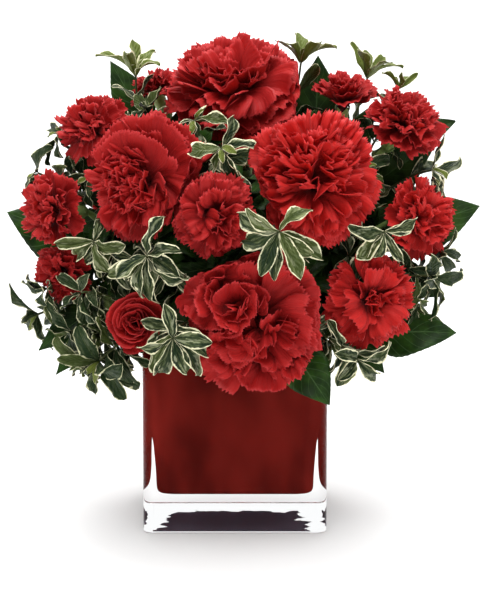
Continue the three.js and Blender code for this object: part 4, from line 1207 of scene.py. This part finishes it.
def vase_form():
    """The clear glass with its outside, rim and hollow. Its underside has the second material."""
    foot = [(6.5, 0), (5, 0), (3, 0), (1.2, 0), (0.45, 0.08), (0.12, 0.35), (0.02, 0.6), (0, 0.9)]
    rim = [(0, 1.6), (0.15, 0.8), (0.5, 0.25), (1.1, 0)]
    outside = [rounded_square(SIDE / 2 - x, CORNER - x, z) for x, z in foot]
    outside += [rounded_square(SIDE / 2 - x, CORNER - x, SIDE - z) for x, z in rim]
    inside = hollow_rings(0, BASE, SIDE - 0.6, CORNER + 1)[::-1]
    lip = rounded_square(SIDE / 2 - WALL_TOP + 0.7, CORNER + 0.4, SIDE)
    form = Form()
    skin(form, outside + [lip] + inside, first_end=1)
    return form


def ruby_form():
    """The thin red lining, whose outside reaches just into the clear glass."""
    outside = hollow_rings(-INTO_GLASS, BASE - INTO_GLASS, SIDE - 1.5, CORNER + 1 + INTO_GLASS)
    inside = hollow_rings(GAP + LINING, BASE + GAP + LINING, SIDE - 1.7, CORNER - 2.5)[::-1]
    form = Form()
    skin(form, outside + inside)
    return form


# The pieces

petal = petal_material("petal", (0.42, 0.006, 0.003))
# A brighter copy of the petal material: painted light for blooms in fuller light
painted_light_petal = petal_material("painted_light_petal", (0.60, 0.010, 0.004))
stem = stem_material()
cream_leaf = pittosporum_material("cream_edged_leaf", 0.83, 0.0)
# Painted shade: darker greens and darker, narrower cream for leaves out of full light
painted_shade_leaf = pittosporum_material("narrow_edged_painted_shade_leaf", 0.89, 0.78)
dark_leaf = salal_material("salal_leaf", 0.7)
# Painted shade: the dark green leaf with hardly paler undersides, for the sprays inside the bouquet
inner_painted_shade_leaf = salal_material("inner_painted_shade_leaf", 0.15)

piece("clear_vase", vase_form(), [glass_material(), foot_material()], "clear_glass", "vase_glass")
piece("ruby_inside", ruby_form(), [ruby_material()], "ruby_glass", "ruby_lining")
water_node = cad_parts["water"]
water_node.data.materials.clear()
water_node.data.materials.append(water_material())
for bloom in blooms:
    look = painted_light_petal if bloom.name in PAINTED_LIGHT_BLOOMS else petal
    piece("petals_" + bloom.name, bloom_form(bloom), [look], "red_petals", bloom.name)
for name, values in STEMS.items():
    piece("green_" + name, stem_form(*values), [stem], "green_stem", name)
for index, (name, (*values, in_light)) in enumerate(PITTOSPORUM.items()):
    leaf, rows = (cream_leaf, LIT_ROWS) if in_light else (painted_shade_leaf, DIM_ROWS)
    form = pittosporum_form(name, SPRAY_DRAWS + DRAWS_APART * index, rows, *values)
    piece("leaves_pitto_" + name, form, [leaf], "cream_edged_leaf", "pitto_" + name)
for index, (name, values) in enumerate(MORE_SPRAYS.items()):
    form = pittosporum_form(name, MORE_DRAWS + DRAWS_APART * index, DIM_ROWS, *values)
    piece("leaves_spray_" + name, form, [painted_shade_leaf], "cream_edged_leaf")
piece("inner_sprays_dark", inner_spray_form(False), [inner_painted_shade_leaf], "dark_green_leaf")
piece("inner_sprays_variegated", inner_spray_form(True), [painted_shade_leaf], "cream_edged_leaf")
for name, values in SALAL.items():
    piece("leaves_" + name, salal_form(*values), [dark_leaf], "dark_green_leaf", name)
for name, values in MORE_SALAL.items():
    piece("leaves_" + name, salal_form(*values), [dark_leaf], "dark_green_leaf")


# Floor, light and camera, in metres

EYE = (0.0033, -1.4772, 0.4045)
AIM = (0.0033, 0, 0.144)
FOCAL_LENGTH = 134.7


def floor():
    bpy.ops.mesh.primitive_plane_add(size=60, location=(0, 0, -0.0002))
    plane = bpy.context.object
    plane.name = "floor"
    g = Graph("floor_white")
    g.set(Base_Color=g.mix(g.grain(8, 2), (0.74, 0.74, 0.74), (0.76, 0.76, 0.755)), Roughness=0.7)
    g.set(Specular_IOR_Level=0.1, Emission_Color=(1, 1, 1), Emission_Strength=0.16)
    plane.data.materials.append(g.owner)


def soft_lamp(name, energy, angle, way):
    lamp = bpy.data.lights.new(name, "SUN")
    lamp.energy = energy
    lamp.angle = math.radians(angle)
    item = bpy.data.objects.new(name, lamp)
    item.rotation_euler = Vector(way).to_track_quat("-Z", "Y").to_euler()
    bpy.context.scene.collection.objects.link(item)


def surroundings():
    """A bright backdrop behind and dimmer light from the front and from above."""
    g = Graph("studio", "worlds", "Background")
    bpy.context.scene.world = g.owner
    height = g.span(g.axis("Z", "Generated"), 0.3, 0.55, 1, 0.16, "LINEAR")
    depth = g.span(g.axis("Y", "Generated"), -0.4, 0.3, 0.5, 1, "LINEAR")
    g.set(Strength=height * depth, Color=(1, 1, 1))


def camera():
    lens = bpy.data.cameras.new("camera")
    lens.lens = FOCAL_LENGTH
    lens.clip_end = 30
    item = bpy.data.objects.new("camera", lens)
    item.location = EYE
    item.rotation_euler = (Vector(AIM) - Vector(EYE)).to_track_quat("-Z", "Y").to_euler()
    bpy.context.scene.collection.objects.link(item)
    bpy.context.scene.camera = item


floor()
soft_lamp("front_lamp", 3.2, 50, (0.0, 0.43, -1.2))
soft_lamp("back_lamp", 2.8, 40, (0.0, -0.6, -1.2))
surroundings()
camera()
bpy.context.scene.view_settings.view_transform = "Standard"
